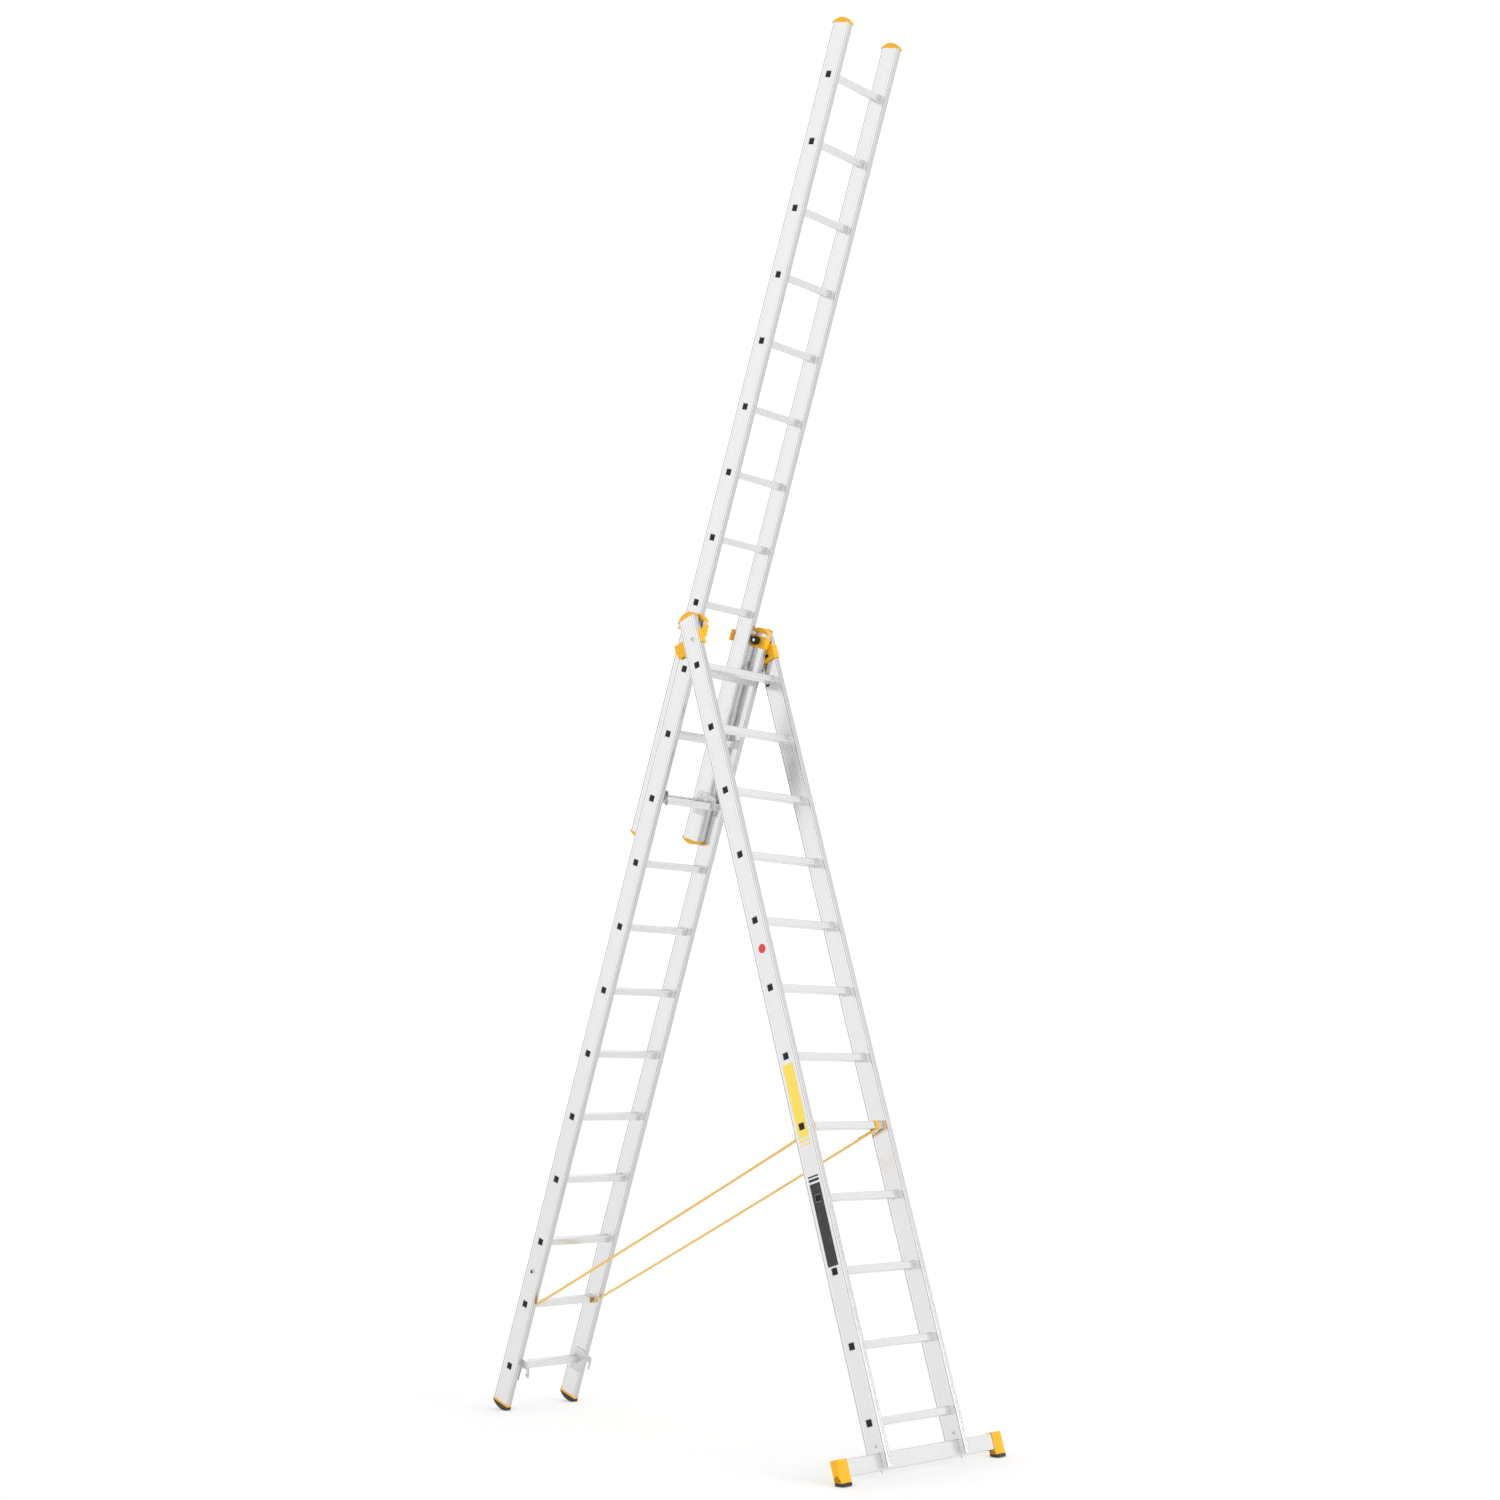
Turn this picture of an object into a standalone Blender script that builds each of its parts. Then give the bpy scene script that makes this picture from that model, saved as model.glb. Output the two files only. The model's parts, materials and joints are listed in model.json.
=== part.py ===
"""Three-section aluminium combination ladder, set up as a free-standing A-frame.

The front section carries a stabiliser bar and stands on two pads. The rear section hangs
from it on a hinge near the top. The upper section slides on the back of the rear section
and hooks over its rungs. Two webbing straps hold the legs apart.
World axes: X along the rungs, Y from the front leg to the rear leg, Z up. Units: metres.
"""
import math

import bmesh
import bpy
from mathutils import Matrix, Vector

# Driving dimensions of the three sections
RUNG_COUNT = 12
RUNG_PITCH = 0.280
BELOW_FIRST_RUNG = 0.166
ABOVE_LAST_RUNG = 0.216
FRONT_WIDTH = 0.488
REAR_WIDTH = 0.414
UPPER_WIDTH = 0.340
STILE_DEPTH = 0.094
STILE_THICK = 0.024
STILE_WALL = 0.0015
STILE_RADIUS = 0.003
RUNG_SIZE = 0.029
RUNG_WALL = 0.002
RUNG_RADIUS = 0.003
RUNG_RECESS = 0.0015
GAP = 0.0003

# Stance: both legs lean by the same angle, and stand this far apart at the first rungs
LEAN = math.radians(18.15)
FIRST_RUNG_HEIGHT = 0.188
FOOT_SPREAD = 2.0277
NEST_OFFSET = 0.066
EXTENDED_PITCHES = 9
Y_SHIFT = -1.0144

# Hinge: distance of the pivot behind the front section's plane
PIVOT_BEHIND_FRONT = 0.054
PIN_RADIUS = 0.006
PIN_CLEARANCE = 0.0004

# Stabiliser
BAR_LENGTH = 0.966
BAR_HEIGHT = 0.062
BAR_DEPTH = 0.028
BAR_WALL = 0.002
BAR_TOP = -0.110
BAR_MIDDLE_Y = -0.0045
SLEEVE_WALL = 0.003
SOLE_HEIGHT = 0.012
SOLE_HALF_DEPTH = 0.023
SOLE_MARGIN = 0.002
STABILISER_FOOT_LENGTH = 0.058
STABILISER_HALF = 0.490

# Webbing straps
STRAP_WIDTH = 0.025
STRAP_THICK = 0.0018
STRAP_FRONT_X = 0.2055
STRAP_REAR_X = 0.168
STRAP_FRONT_RUNG = 5
STRAP_REAR_RUNG = 2

SIN_LEAN = math.sin(LEAN)
COS_LEAN = math.cos(LEAN)
SECTION_SPAN = (RUNG_COUNT - 1) * RUNG_PITCH
TOP_GAP = FOOT_SPREAD - 2 * SECTION_SPAN * SIN_LEAN
PIVOT_AHEAD_OF_REAR = NEST_OFFSET - PIVOT_BEHIND_FRONT
PIVOT_SUM = (TOP_GAP - NEST_OFFSET * COS_LEAN) / SIN_LEAN
PIVOT_DIFFERENCE = (PIVOT_BEHIND_FRONT - PIVOT_AHEAD_OF_REAR) * math.tan(LEAN)
PIVOT_ABOVE_FRONT = (PIVOT_SUM + PIVOT_DIFFERENCE) / 2
PIVOT_ABOVE_REAR = (PIVOT_SUM - PIVOT_DIFFERENCE) / 2


def clear_scene():
    for item in list(bpy.data.objects):
        bpy.data.objects.remove(item, do_unlink=True)


def new_collection(name):
    collection = bpy.data.collections.new(name)
    bpy.context.scene.collection.children.link(collection)
    return collection


def principled(name, colour, roughness, metallic):
    material = bpy.data.materials.new(name)
    material.use_nodes = True
    shader = material.node_tree.nodes["Principled BSDF"]
    shader.inputs["Base Color"].default_value = (*colour, 1.0)
    shader.inputs["Roughness"].default_value = roughness
    shader.inputs["Metallic"].default_value = metallic
    return material


clear_scene()
PARTS = new_collection("combination_ladder")
CUTTERS = new_collection("cutters")
ALUMINIUM = principled("aluminium", (0.80, 0.81, 0.83), 0.34, 1.0)
YELLOW = principled("yellow_plastic", (0.95, 0.56, 0.03), 0.45, 0.0)
STEEL = principled("steel", (0.55, 0.56, 0.58), 0.35, 1.0)
BLACK = principled("black_plastic", (0.02, 0.02, 0.022), 0.5, 0.0)
RUBBER = principled("rubber", (0.03, 0.03, 0.032), 0.8, 0.0)
WEBBING = principled("webbing", (0.90, 0.60, 0.05), 0.8, 0.0)


def empty(name, location, tilt, parent=None):
    """A frame: local Y is the section's rear normal, local Z runs up along its stiles."""
    item = bpy.data.objects.new(name, None)
    item.location = location
    item.rotation_euler = (tilt, 0.0, 0.0)
    item.parent = parent
    PARTS.objects.link(item)
    return item


def add_object(name, mesh, frame, material=None):
    item = bpy.data.objects.new(name, mesh)
    item.parent = frame
    if material:
        if not mesh.materials:
            mesh.materials.append(material)
        PARTS.objects.link(item)
    else:
        CUTTERS.objects.link(item)
        item.hide_render = True
        item.display_type = "WIRE"
    return item


def rounded_rectangle(width, depth, radius, steps=2):
    """Outline of a rectangle with rounded corners, anticlockwise."""
    points = []
    for turn, sx, sy in ((0, 1, 1), (1, -1, 1), (2, -1, -1), (3, 1, -1)):
        for step in range(steps + 1):
            angle = math.pi / 2 * (turn + step / steps)
            points.append((sx * (width / 2 - radius) + radius * math.cos(angle),
                           sy * (depth / 2 - radius) + radius * math.sin(angle)))
    return points


def rectangle(width, depth):
    return [(width / 2, depth / 2), (-width / 2, depth / 2),
            (-width / 2, -depth / 2), (width / 2, -depth / 2)]


def extruded_mesh(name, outlines, length):
    """A flat outline, with its holes, extruded along local Z, centred on Z = 0."""
    curve = bpy.data.curves.new(name, "CURVE")
    curve.dimensions = "2D"
    curve.fill_mode = "BOTH"
    curve.extrude = length / 2
    for outline in outlines:
        spline = curve.splines.new("POLY")
        spline.points.add(len(outline) - 1)
        for point, (x, y) in zip(spline.points, outline):
            point.co = (x, y, 0.0, 1.0)
        spline.use_cyclic_u = True
    item = bpy.data.objects.new(name, curve)
    CUTTERS.objects.link(item)
    bpy.context.view_layer.update()
    graph = bpy.context.evaluated_depsgraph_get()
    mesh = bpy.data.meshes.new_from_object(item.evaluated_get(graph))
    mesh.name = name
    bpy.data.objects.remove(item, do_unlink=True)
    bpy.data.curves.remove(curve)
    work = bmesh.new()
    work.from_mesh(mesh)
    bmesh.ops.remove_doubles(work, verts=work.verts, dist=0.00001)
    bmesh.ops.recalc_face_normals(work, faces=work.faces)
    work.to_mesh(mesh)
    work.free()
    mesh.materials.clear()
    return mesh


def box_mesh(name, *boxes):
    """One mesh of boxes, each given by its low and high corner."""
    work = bmesh.new()
    for low, high in boxes:
        size = [b - a for a, b in zip(low, high)]
        middle = [(a + b) / 2 for a, b in zip(low, high)]
        matrix = Matrix.Translation(middle) @ Matrix.Diagonal((*size, 1.0))
        bmesh.ops.create_cube(work, size=1.0, matrix=matrix)
    mesh = bpy.data.meshes.new(name)
    work.to_mesh(mesh)
    work.free()
    return mesh


def side_plate_mesh(name, outline, x_low, x_high):
    """A plate lying in a section's side plane: outline in (Y, Z), thickness along X."""
    mesh = extruded_mesh(name, [outline], x_high - x_low)
    turn = Matrix(((0, 0, 1, (x_low + x_high) / 2), (1, 0, 0, 0), (0, 1, 0, 0), (0, 0, 0, 1)))
    mesh.transform(turn)
    return mesh


def pin_mesh(name, radius, x_low, x_high, y, z, sides=20):
    """A round bar along X."""
    work = bmesh.new()
    place = Matrix.Translation(((x_low + x_high) / 2, y, z)) @ Matrix.Rotation(math.pi / 2, 4, "Y")
    bmesh.ops.create_cone(work, cap_ends=True, segments=sides, radius1=radius, radius2=radius,
                          depth=x_high - x_low, matrix=place)
    mesh = bpy.data.meshes.new(name)
    work.to_mesh(mesh)
    work.free()
    return mesh


def boolean(item, cutter, operation):
    step = item.modifiers.new(operation.lower(), "BOOLEAN")
    step.operation = operation
    step.object = cutter
    step.solver = "EXACT"
    return step


def mirrored(mesh, name):
    """The same shape on the other side of X = 0."""
    copy = mesh.copy()
    copy.name = name
    copy.transform(Matrix.Diagonal((-1, 1, 1, 1)))
    copy.flip_normals()
    return copy


def rung_z(number):
    """Height of a rung along its section, from the first rung."""
    return (number - 1) * RUNG_PITCH


def stile_pair(prefix, frame, width, extra_cutters=()):
    """The two stiles: hollow box extrusions with a square hole through them for each rung."""
    length = BELOW_FIRST_RUNG + SECTION_SPAN + ABOVE_LAST_RUNG
    outer = rounded_rectangle(STILE_THICK, STILE_DEPTH, STILE_RADIUS)
    inner = rectangle(STILE_THICK - 2 * STILE_WALL, STILE_DEPTH - 2 * STILE_WALL)
    mesh = extruded_mesh(prefix + "_stile", [outer, inner], length)
    hole = RUNG_SIZE / 2 + GAP
    holes = box_mesh(prefix + "_rung_holes", *[
        ((-width, -hole, rung_z(k) - hole), (width, hole, rung_z(k) + hole))
        for k in range(1, RUNG_COUNT + 1)])
    holes_cutter = add_object(prefix + "_rung_holes", holes, frame)
    stiles = []
    for side, name in ((-1, "left"), (1, "right")):
        item = add_object(f"{prefix}_stile_{name}", mesh, frame, ALUMINIUM)
        item.location = (side * (width - STILE_THICK) / 2, 0.0,
                         length / 2 - BELOW_FIRST_RUNG)
        boolean(item, holes_cutter, "DIFFERENCE")
        for cutter in extra_cutters:
            boolean(item, cutter, "DIFFERENCE")
        stiles.append(item)
    return stiles


def rungs(prefix, frame, width):
    """Square tubes that run through both stiles."""
    outlines = [rounded_rectangle(RUNG_SIZE, RUNG_SIZE, RUNG_RADIUS),
                rectangle(RUNG_SIZE - 2 * RUNG_WALL, RUNG_SIZE - 2 * RUNG_WALL)]
    mesh = extruded_mesh(prefix + "_rung", outlines, width - 2 * RUNG_RECESS)
    mesh.transform(Matrix.Rotation(math.pi / 2, 4, "Y"))
    for number in range(1, RUNG_COUNT + 1):
        item = add_object(f"{prefix}_rung_{number:02d}", mesh, frame, ALUMINIUM)
        item.location = (0.0, 0.0, rung_z(number))


def hook_outline():
    """Side view of a hook plate: a plate beside the rung and an arm that turns down in front."""
    near = -(NEST_OFFSET - RUNG_SIZE / 2) + 0.001
    far = -(NEST_OFFSET + RUNG_SIZE / 2) - 0.002
    under = RUNG_SIZE / 2 + 0.0006
    return [(0.022, -0.050), (0.022, 0.046), (0.010, 0.052), (-0.030, 0.052), (-0.050, 0.045),
            (far - 0.006, 0.043), (far - 0.012, 0.036), (far - 0.012, -0.008),
            (far - 0.009, -0.013), (far - 0.003, -0.013), (far, -0.008), (far, under),
            (near, under), (near, -0.044), (near + 0.008, -0.050)]


def hooks(prefix, frame, width, rung_cutter):
    """A steel hook plate on the inside face of each stile at the first rung."""
    face = width / 2 - STILE_THICK - GAP
    mesh = side_plate_mesh(prefix + "_hook_right", hook_outline(), face - 0.003, face)
    for name, shape in (("right", mesh), ("left", mirrored(mesh, prefix + "_hook_left"))):
        item = add_object(f"{prefix}_hook_{name}", shape, frame, STEEL)
        boolean(item, rung_cutter, "DIFFERENCE")


def latch(name, frame, width):
    """A flat safety catch that hangs from the left hook arm on its own pivot."""
    face = width / 2 - STILE_THICK - GAP - 0.003 - 0.0006
    pivot = empty(name + "_pivot", (0.0, -0.082, 0.030), -LEAN, frame)
    outline = [(0.005, 0.006), (-0.005, 0.006), (-0.007, 0.0), (-0.007, -0.030), (-0.004, -0.046),
               (0.003, -0.050), (0.006, -0.044), (0.007, -0.028), (0.007, 0.0)]
    mesh = side_plate_mesh(name, outline[::-1], -face, -face + 0.003)
    add_object(name, mesh, pivot, STEEL)


def front_bracket():
    """Yellow hinge and guide bracket on the inside face of each front stile."""
    face = FRONT_WIDTH / 2 - STILE_THICK - GAP
    top = SECTION_SPAN
    inside = face - 0.0085
    half = STILE_DEPTH / 2
    outline = [(-half - 0.0035, 0.085), (0.030, 0.085), (0.043, 0.070), (0.066, 0.069),
               (0.084, 0.080), (0.112, 0.080), (0.112, 0.143), (0.046, 0.143), (0.038, 0.152),
               (-half - 0.0035, 0.152)]
    plate = side_plate_mesh("front_bracket_right", [(y, z + top) for y, z in outline], inside, face)
    wrap = box_mesh("front_bracket_wrap",
                    ((inside, -half - 0.0035, top + 0.088),
                     (face + STILE_THICK, -half - GAP, top + 0.148)))
    lip = box_mesh("front_bracket_lip",
                   ((inside - 0.018, 0.1145, top + 0.106), (face, 0.1195, top + 0.143)),
                   )
    web = box_mesh("front_bracket_web",
                   ((inside, 0.108, top + 0.102), (face, 0.1175, top + 0.143)))
    pin = pin_mesh("front_bracket_pin", PIN_RADIUS, REAR_WIDTH / 2 - 0.016, inside + 0.004,
                   PIVOT_BEHIND_FRONT, top + PIVOT_ABOVE_FRONT)
    return plate, (wrap, web, lip, pin)


def rear_bracket():
    """Yellow guide bracket at the top of each rear stile, reaching round the upper stile."""
    face = REAR_WIDTH / 2 - STILE_THICK - GAP
    top = SECTION_SPAN
    inside = face - 0.006
    half = STILE_DEPTH / 2
    outline = [(-half - 0.0035, 0.152), (0.118, 0.152), (0.118, 0.203), (-half - 0.0035, 0.203)]
    plate = side_plate_mesh("rear_bracket_right", [(y, z + top) for y, z in outline], inside, face)
    wrap = box_mesh("rear_bracket_wrap",
                    ((inside, -half - 0.0035, top + 0.154),
                     (face + STILE_THICK, -half - GAP, top + 0.201)))
    lip = box_mesh("rear_bracket_lip",
                   ((inside - 0.044, 0.1155, top + 0.153), (face - 0.0004, 0.1215, top + 0.202)))
    return plate, (wrap, lip)


def bracket_pair(name, frame, parts, cutters=()):
    """Both brackets of a section, each joined into one solid."""
    plate, others = parts
    for side in ("right", "left"):
        shape = plate if side == "right" else mirrored(plate, f"{name}_left")
        item = add_object(f"{name}_{side}", shape, frame, YELLOW)
        for other in others:
            piece = other.copy() if side == "right" else mirrored(other, other.name + "_left")
            boolean(item, add_object(f"{piece.name}_cutter_{side}", piece, frame), "UNION")
        for cutter in cutters:
            boolean(item, cutter, "DIFFERENCE")


def front_section(frame):
    """Front leg: its origin is the middle of its first rung."""
    bar_front = BAR_MIDDLE_Y - BAR_DEPTH / 2 - 0.0005
    notch = add_object("bar_notch", box_mesh(
        "bar_notch", ((-0.4, bar_front, -0.3), (0.4, STILE_DEPTH, BAR_TOP + 0.001))), frame)
    stile_pair("front", frame, FRONT_WIDTH, (notch,))
    rungs("front", frame, FRONT_WIDTH)
    bracket_pair("front_bracket", frame, front_bracket())


def stabiliser(frame):
    """Rectangular tube across the front stiles, with a foot on each end."""
    outlines = [rounded_rectangle(BAR_HEIGHT, BAR_DEPTH, 0.004),
                rectangle(BAR_HEIGHT - 2 * BAR_WALL, BAR_DEPTH - 2 * BAR_WALL)]
    mesh = extruded_mesh("stabiliser_bar", outlines, BAR_LENGTH)
    mesh.transform(Matrix.Rotation(math.pi / 2, 4, "Y"))
    bar = add_object("stabiliser_bar", mesh, frame, ALUMINIUM)
    bar.location = (0.0, BAR_MIDDLE_Y, BAR_TOP - BAR_HEIGHT / 2)
    front, rear = BAR_MIDDLE_Y - BAR_DEPTH / 2, BAR_MIDDLE_Y + BAR_DEPTH / 2
    inner_x = STABILISER_HALF - STABILISER_FOOT_LENGTH
    sole_y = BAR_MIDDLE_Y + 0.002
    sole_z = (sole_y * SIN_LEAN - FIRST_RUNG_HEIGHT) / COS_LEAN
    body = box_mesh("stabiliser_foot_right", (
        (inner_x, front - SLEEVE_WALL, sole_z - 0.020),
        (STABILISER_HALF, rear + SLEEVE_WALL, BAR_TOP + SLEEVE_WALL)))
    bore = add_object("bar_bore", box_mesh("bar_bore", (
        (-BAR_LENGTH / 2 - GAP, front - GAP, BAR_TOP - BAR_HEIGHT - GAP),
        (BAR_LENGTH / 2 + GAP, rear + GAP, BAR_TOP + GAP))), frame)
    sole = box_mesh("sole_right", (
        (inner_x - SOLE_MARGIN, -SOLE_HALF_DEPTH, 0.0),
        (STABILISER_HALF + SOLE_MARGIN, SOLE_HALF_DEPTH, SOLE_HEIGHT)))
    below = box_mesh("below_floor", ((-1.0, -0.3, -0.3), (1.0, 0.3, 0.0005)))
    place = Matrix.Translation((0.0, sole_y, sole_z)) @ Matrix.Rotation(LEAN, 4, "X")
    sole.transform(place)
    below.transform(place)
    floor_cutter = add_object("below_floor", below, frame)
    for side in ("right", "left"):
        shape = body if side == "right" else mirrored(body, "stabiliser_foot_left")
        pad = sole if side == "right" else mirrored(sole, "sole_left")
        item = add_object(f"stabiliser_foot_{side}", shape, frame, YELLOW)
        boolean(item, floor_cutter, "DIFFERENCE")
        boolean(item, add_object(f"sole_{side}", pad, frame), "UNION")
        boolean(item, bore, "DIFFERENCE")


def rear_foot_outline():
    """Side view of a rear foot: a rubber block whose sole is an arc that rolls on the floor."""
    radius = 0.090
    half = STILE_DEPTH / 2
    contact_y = -0.038
    contact_z = -(FIRST_RUNG_HEIGHT + contact_y * SIN_LEAN) / COS_LEAN
    centre = (contact_y + radius * SIN_LEAN, contact_z + radius * COS_LEAN)
    start = math.asin((half - centre[0]) / radius)
    end = math.asin((-half - centre[0]) / radius)
    points = [(half, -BELOW_FIRST_RUNG - GAP), (-half, -BELOW_FIRST_RUNG - GAP)]
    steps = 14
    for step in range(steps + 1):
        angle = end + (start - end) * step / steps
        points.append((centre[0] + radius * math.sin(angle), centre[1] - radius * math.cos(angle)))
    return points[::-1]


def strap(side, name, front_frame, rear_frame):
    """A taut flat strap from under a front rung to under a rear rung."""
    corner = RUNG_SIZE / 2
    start = front_frame.matrix_world @ Vector((side * STRAP_FRONT_X, corner - 0.0002,
                                               rung_z(STRAP_FRONT_RUNG) - corner - 0.0013))
    end = rear_frame.matrix_world @ Vector((side * STRAP_REAR_X, -corner - 0.0009,
                                            rung_z(STRAP_REAR_RUNG) - corner - 0.0009))
    along = end - start
    across = Vector((1, 0, 0))
    up = along.cross(across).normalized()
    width_axis = up.cross(along).normalized()
    mesh = box_mesh(name, ((-STRAP_WIDTH / 2, -STRAP_THICK / 2, -along.length / 2),
                           (STRAP_WIDTH / 2, STRAP_THICK / 2, along.length / 2)))
    item = add_object(name, mesh, None, WEBBING)
    turn = Matrix((width_axis, up, along.normalized())).transposed().to_4x4()
    item.matrix_world = Matrix.Translation((start + end) / 2) @ turn


def build():
    first_front = Vector((0.0, Y_SHIFT, FIRST_RUNG_HEIGHT))
    front_frame = empty("front_frame", first_front, -LEAN)
    bpy.context.view_layer.update()
    front_section(front_frame)
    stabiliser(front_frame)

    # The rear section turns about the hinge pivot
    pivot = front_frame.matrix_world @ Vector(
        (0.0, PIVOT_BEHIND_FRONT, SECTION_SPAN + PIVOT_ABOVE_FRONT))
    rear_frame = empty("rear_hinge", pivot, LEAN)
    bpy.context.view_layer.update()
    plane = empty("rear_plane", (0.0, PIVOT_AHEAD_OF_REAR, -(SECTION_SPAN + PIVOT_ABOVE_REAR)),
                  0.0, rear_frame)
    bpy.context.view_layer.update()
    knob_y = -0.0045
    knob_z = SECTION_SPAN + 0.181
    cutters = []
    for name, side in (("right", 1), ("left", -1)):
        low, high = sorted((side * (REAR_WIDTH / 2 - 0.018), side * (REAR_WIDTH / 2 + 0.01)))
        cutters.append(add_object(f"hinge_hole_{name}", pin_mesh(
            f"hinge_hole_{name}", PIN_RADIUS + PIN_CLEARANCE, low, high,
            -PIVOT_AHEAD_OF_REAR, SECTION_SPAN + PIVOT_ABOVE_REAR), plane))
    lock_hole = add_object("lock_hole", pin_mesh("lock_hole", 0.0054, 0.165, 0.215,
                                                 knob_y, knob_z, 16), plane)
    stile_pair("rear", plane, REAR_WIDTH, (*cutters, lock_hole))
    rungs("rear", plane, REAR_WIDTH)
    bracket_pair("rear_bracket", plane, rear_bracket(), (lock_hole,))
    hole = RUNG_SIZE / 2 + GAP
    rung_cutter = add_object("rear_hook_hole", box_mesh(
        "rear_hook_hole", ((-0.3, -hole, -hole), (0.3, hole, hole))), plane)
    hooks("rear", plane, REAR_WIDTH, rung_cutter)
    latch("rear_latch", plane, REAR_WIDTH)
    foot = side_plate_mesh("rear_foot_right", rear_foot_outline(),
                           REAR_WIDTH / 2 - STILE_THICK - 0.001, REAR_WIDTH / 2 + 0.001)
    add_object("rear_foot_right", foot, plane, RUBBER)
    add_object("rear_foot_left", mirrored(foot, "rear_foot_left"), plane, RUBBER)

    # Locking knob: a sprung pin through the right rear stile, pulled inwards
    knob_axis = empty("lock_knob_axis", (0.0, knob_y, knob_z), 0.0, plane)
    face = REAR_WIDTH / 2 - STILE_THICK - GAP - 0.006 - GAP
    knob = add_object("lock_knob", pin_mesh("lock_knob", 0.019, face - 0.024, face - 0.004,
                                            0.0, 0.0, 24), knob_axis, BLACK)
    for label, radius, low, high in (("neck", 0.012, face - 0.006, face),
                                     ("shaft", 0.005, face - 0.010, REAR_WIDTH / 2 + 0.003)):
        boolean(knob, add_object(f"lock_{label}", pin_mesh(
            f"lock_{label}", radius, low, high, 0.0, 0.0, 16), knob_axis), "UNION")

    # The upper section slides along the rear section's stiles
    upper_frame = empty("upper_slide", (0.0, NEST_OFFSET, EXTENDED_PITCHES * RUNG_PITCH),
                        0.0, plane)
    stile_pair("upper", upper_frame, UPPER_WIDTH)
    rungs("upper", upper_frame, UPPER_WIDTH)
    upper_cutter = add_object("upper_hook_hole", box_mesh(
        "upper_hook_hole", ((-0.3, -hole, -hole), (0.3, hole, hole))), upper_frame)
    hooks("upper", upper_frame, UPPER_WIDTH, upper_cutter)
    latch("upper_latch", upper_frame, UPPER_WIDTH)

    bpy.context.view_layer.update()
    for side, name in ((-1, "strap_left"), (1, "strap_right")):
        strap(side, name, front_frame, plane)


build()
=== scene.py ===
"""Looks of a three-section aluminium combination ladder, built round its fixed frame.

Every length is in metres, in the frame's own space. Each section has a local space of its own:
X across the ladder, Y towards the section's rear face, Z up its stiles, from its first rung.
"""

import json
import math

import bmesh
import bpy
import numpy as np
from mathutils import Matrix, Vector


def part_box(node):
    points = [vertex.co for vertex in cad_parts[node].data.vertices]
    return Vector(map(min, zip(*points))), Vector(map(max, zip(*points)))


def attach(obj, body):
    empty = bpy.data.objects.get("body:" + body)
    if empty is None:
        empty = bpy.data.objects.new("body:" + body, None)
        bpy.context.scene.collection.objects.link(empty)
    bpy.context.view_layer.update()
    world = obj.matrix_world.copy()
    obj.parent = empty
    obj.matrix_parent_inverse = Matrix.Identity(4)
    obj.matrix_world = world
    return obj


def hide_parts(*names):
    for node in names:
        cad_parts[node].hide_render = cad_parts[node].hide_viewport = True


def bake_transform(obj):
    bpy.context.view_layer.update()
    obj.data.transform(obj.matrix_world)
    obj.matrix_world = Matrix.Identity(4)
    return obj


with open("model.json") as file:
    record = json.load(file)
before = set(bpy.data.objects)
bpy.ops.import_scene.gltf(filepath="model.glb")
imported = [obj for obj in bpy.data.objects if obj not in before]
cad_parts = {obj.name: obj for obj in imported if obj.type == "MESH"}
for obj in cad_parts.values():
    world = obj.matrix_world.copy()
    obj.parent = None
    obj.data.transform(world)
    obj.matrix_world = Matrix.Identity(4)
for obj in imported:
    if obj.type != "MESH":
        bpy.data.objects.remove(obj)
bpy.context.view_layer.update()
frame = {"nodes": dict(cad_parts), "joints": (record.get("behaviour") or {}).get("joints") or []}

bl_info = {
    "name": "Combination ladder",
    "version": (1, 0, 0),
    "blender": (4, 5, 0),
    "location": "View3D > Sidebar > Ladder",
    "description": "Builds the finished surfaces of a three-section combination ladder",
    "category": "Object",
}

LEFT, RIGHT = -1, 1
SIDES = {"left": LEFT, "right": RIGHT}
RUNG_NUMBERS = range(1, 13)
FACE_OUT, FACE_REAR, FACE_IN, FACE_FRONT = range(4)

# Camera and studio
CAMERA_PLACE = Vector((-6.859, -6.476, 1.488))
CAMERA_HEADING = math.radians(47.256)
CAMERA_TILT = math.radians(7.882)
CAMERA_ROLL = math.radians(0.979)
CAMERA_LENS = 54.337
FLOOR_REACH = 60.0

# Fits and walls that every piece keeps
SKIN = 0.0003
SUNK = 0.0004
STILE_WALL = 0.0015
STILE_CORNER = 0.003
BAR_WALL = 0.002
HOLE_CLEARANCE = 0.0003
SLEEVE_WALL = 0.003
SOLE_HEIGHT = 0.012
SOLE_MARGIN = 0.002
SOLE_HALF_DEPTH = 0.023
SHARP_ANGLE = 40

# Places of the die lines on a stile's broad faces, as shares of half its depth
INNER_LINE = 0.62
OUTER_LINE = 0.87

# Plates of the brackets and hooks, measured from the stile's inner face
FRONT_PLATE = 0.0085
REAR_PLATE = 0.006
HOOK_PLATE = 0.003

# Places of fasteners in their section: Y, and Z above the last rung
BRACKET_BOLT = (-0.008, 0.114)
GUIDE_INSERT = (-0.004, 0.110)
GUIDE_DIMPLE = (0.100, 0.105)
BRACKET_RIVETS = ((-0.038, 0.166), (-0.038, 0.190))
RUNG_BUFFER = (0.026, -0.0125)

# Places of fasteners in their section: Y, and Z above the first rung
SIDE_SCREW = (0.004, 0.424)
CROSS_PIN = (-0.008, -0.085)
HOOK_RIVETS = {
    "rear": ((0.012, -0.040), (-0.034, -0.040), (0.004, 0.036), (-0.044, 0.030)),
    "upper": ((-0.004, 0.037), (-0.004, -0.037), (-0.044, 0.034), (-0.044, -0.034)),
}

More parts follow.
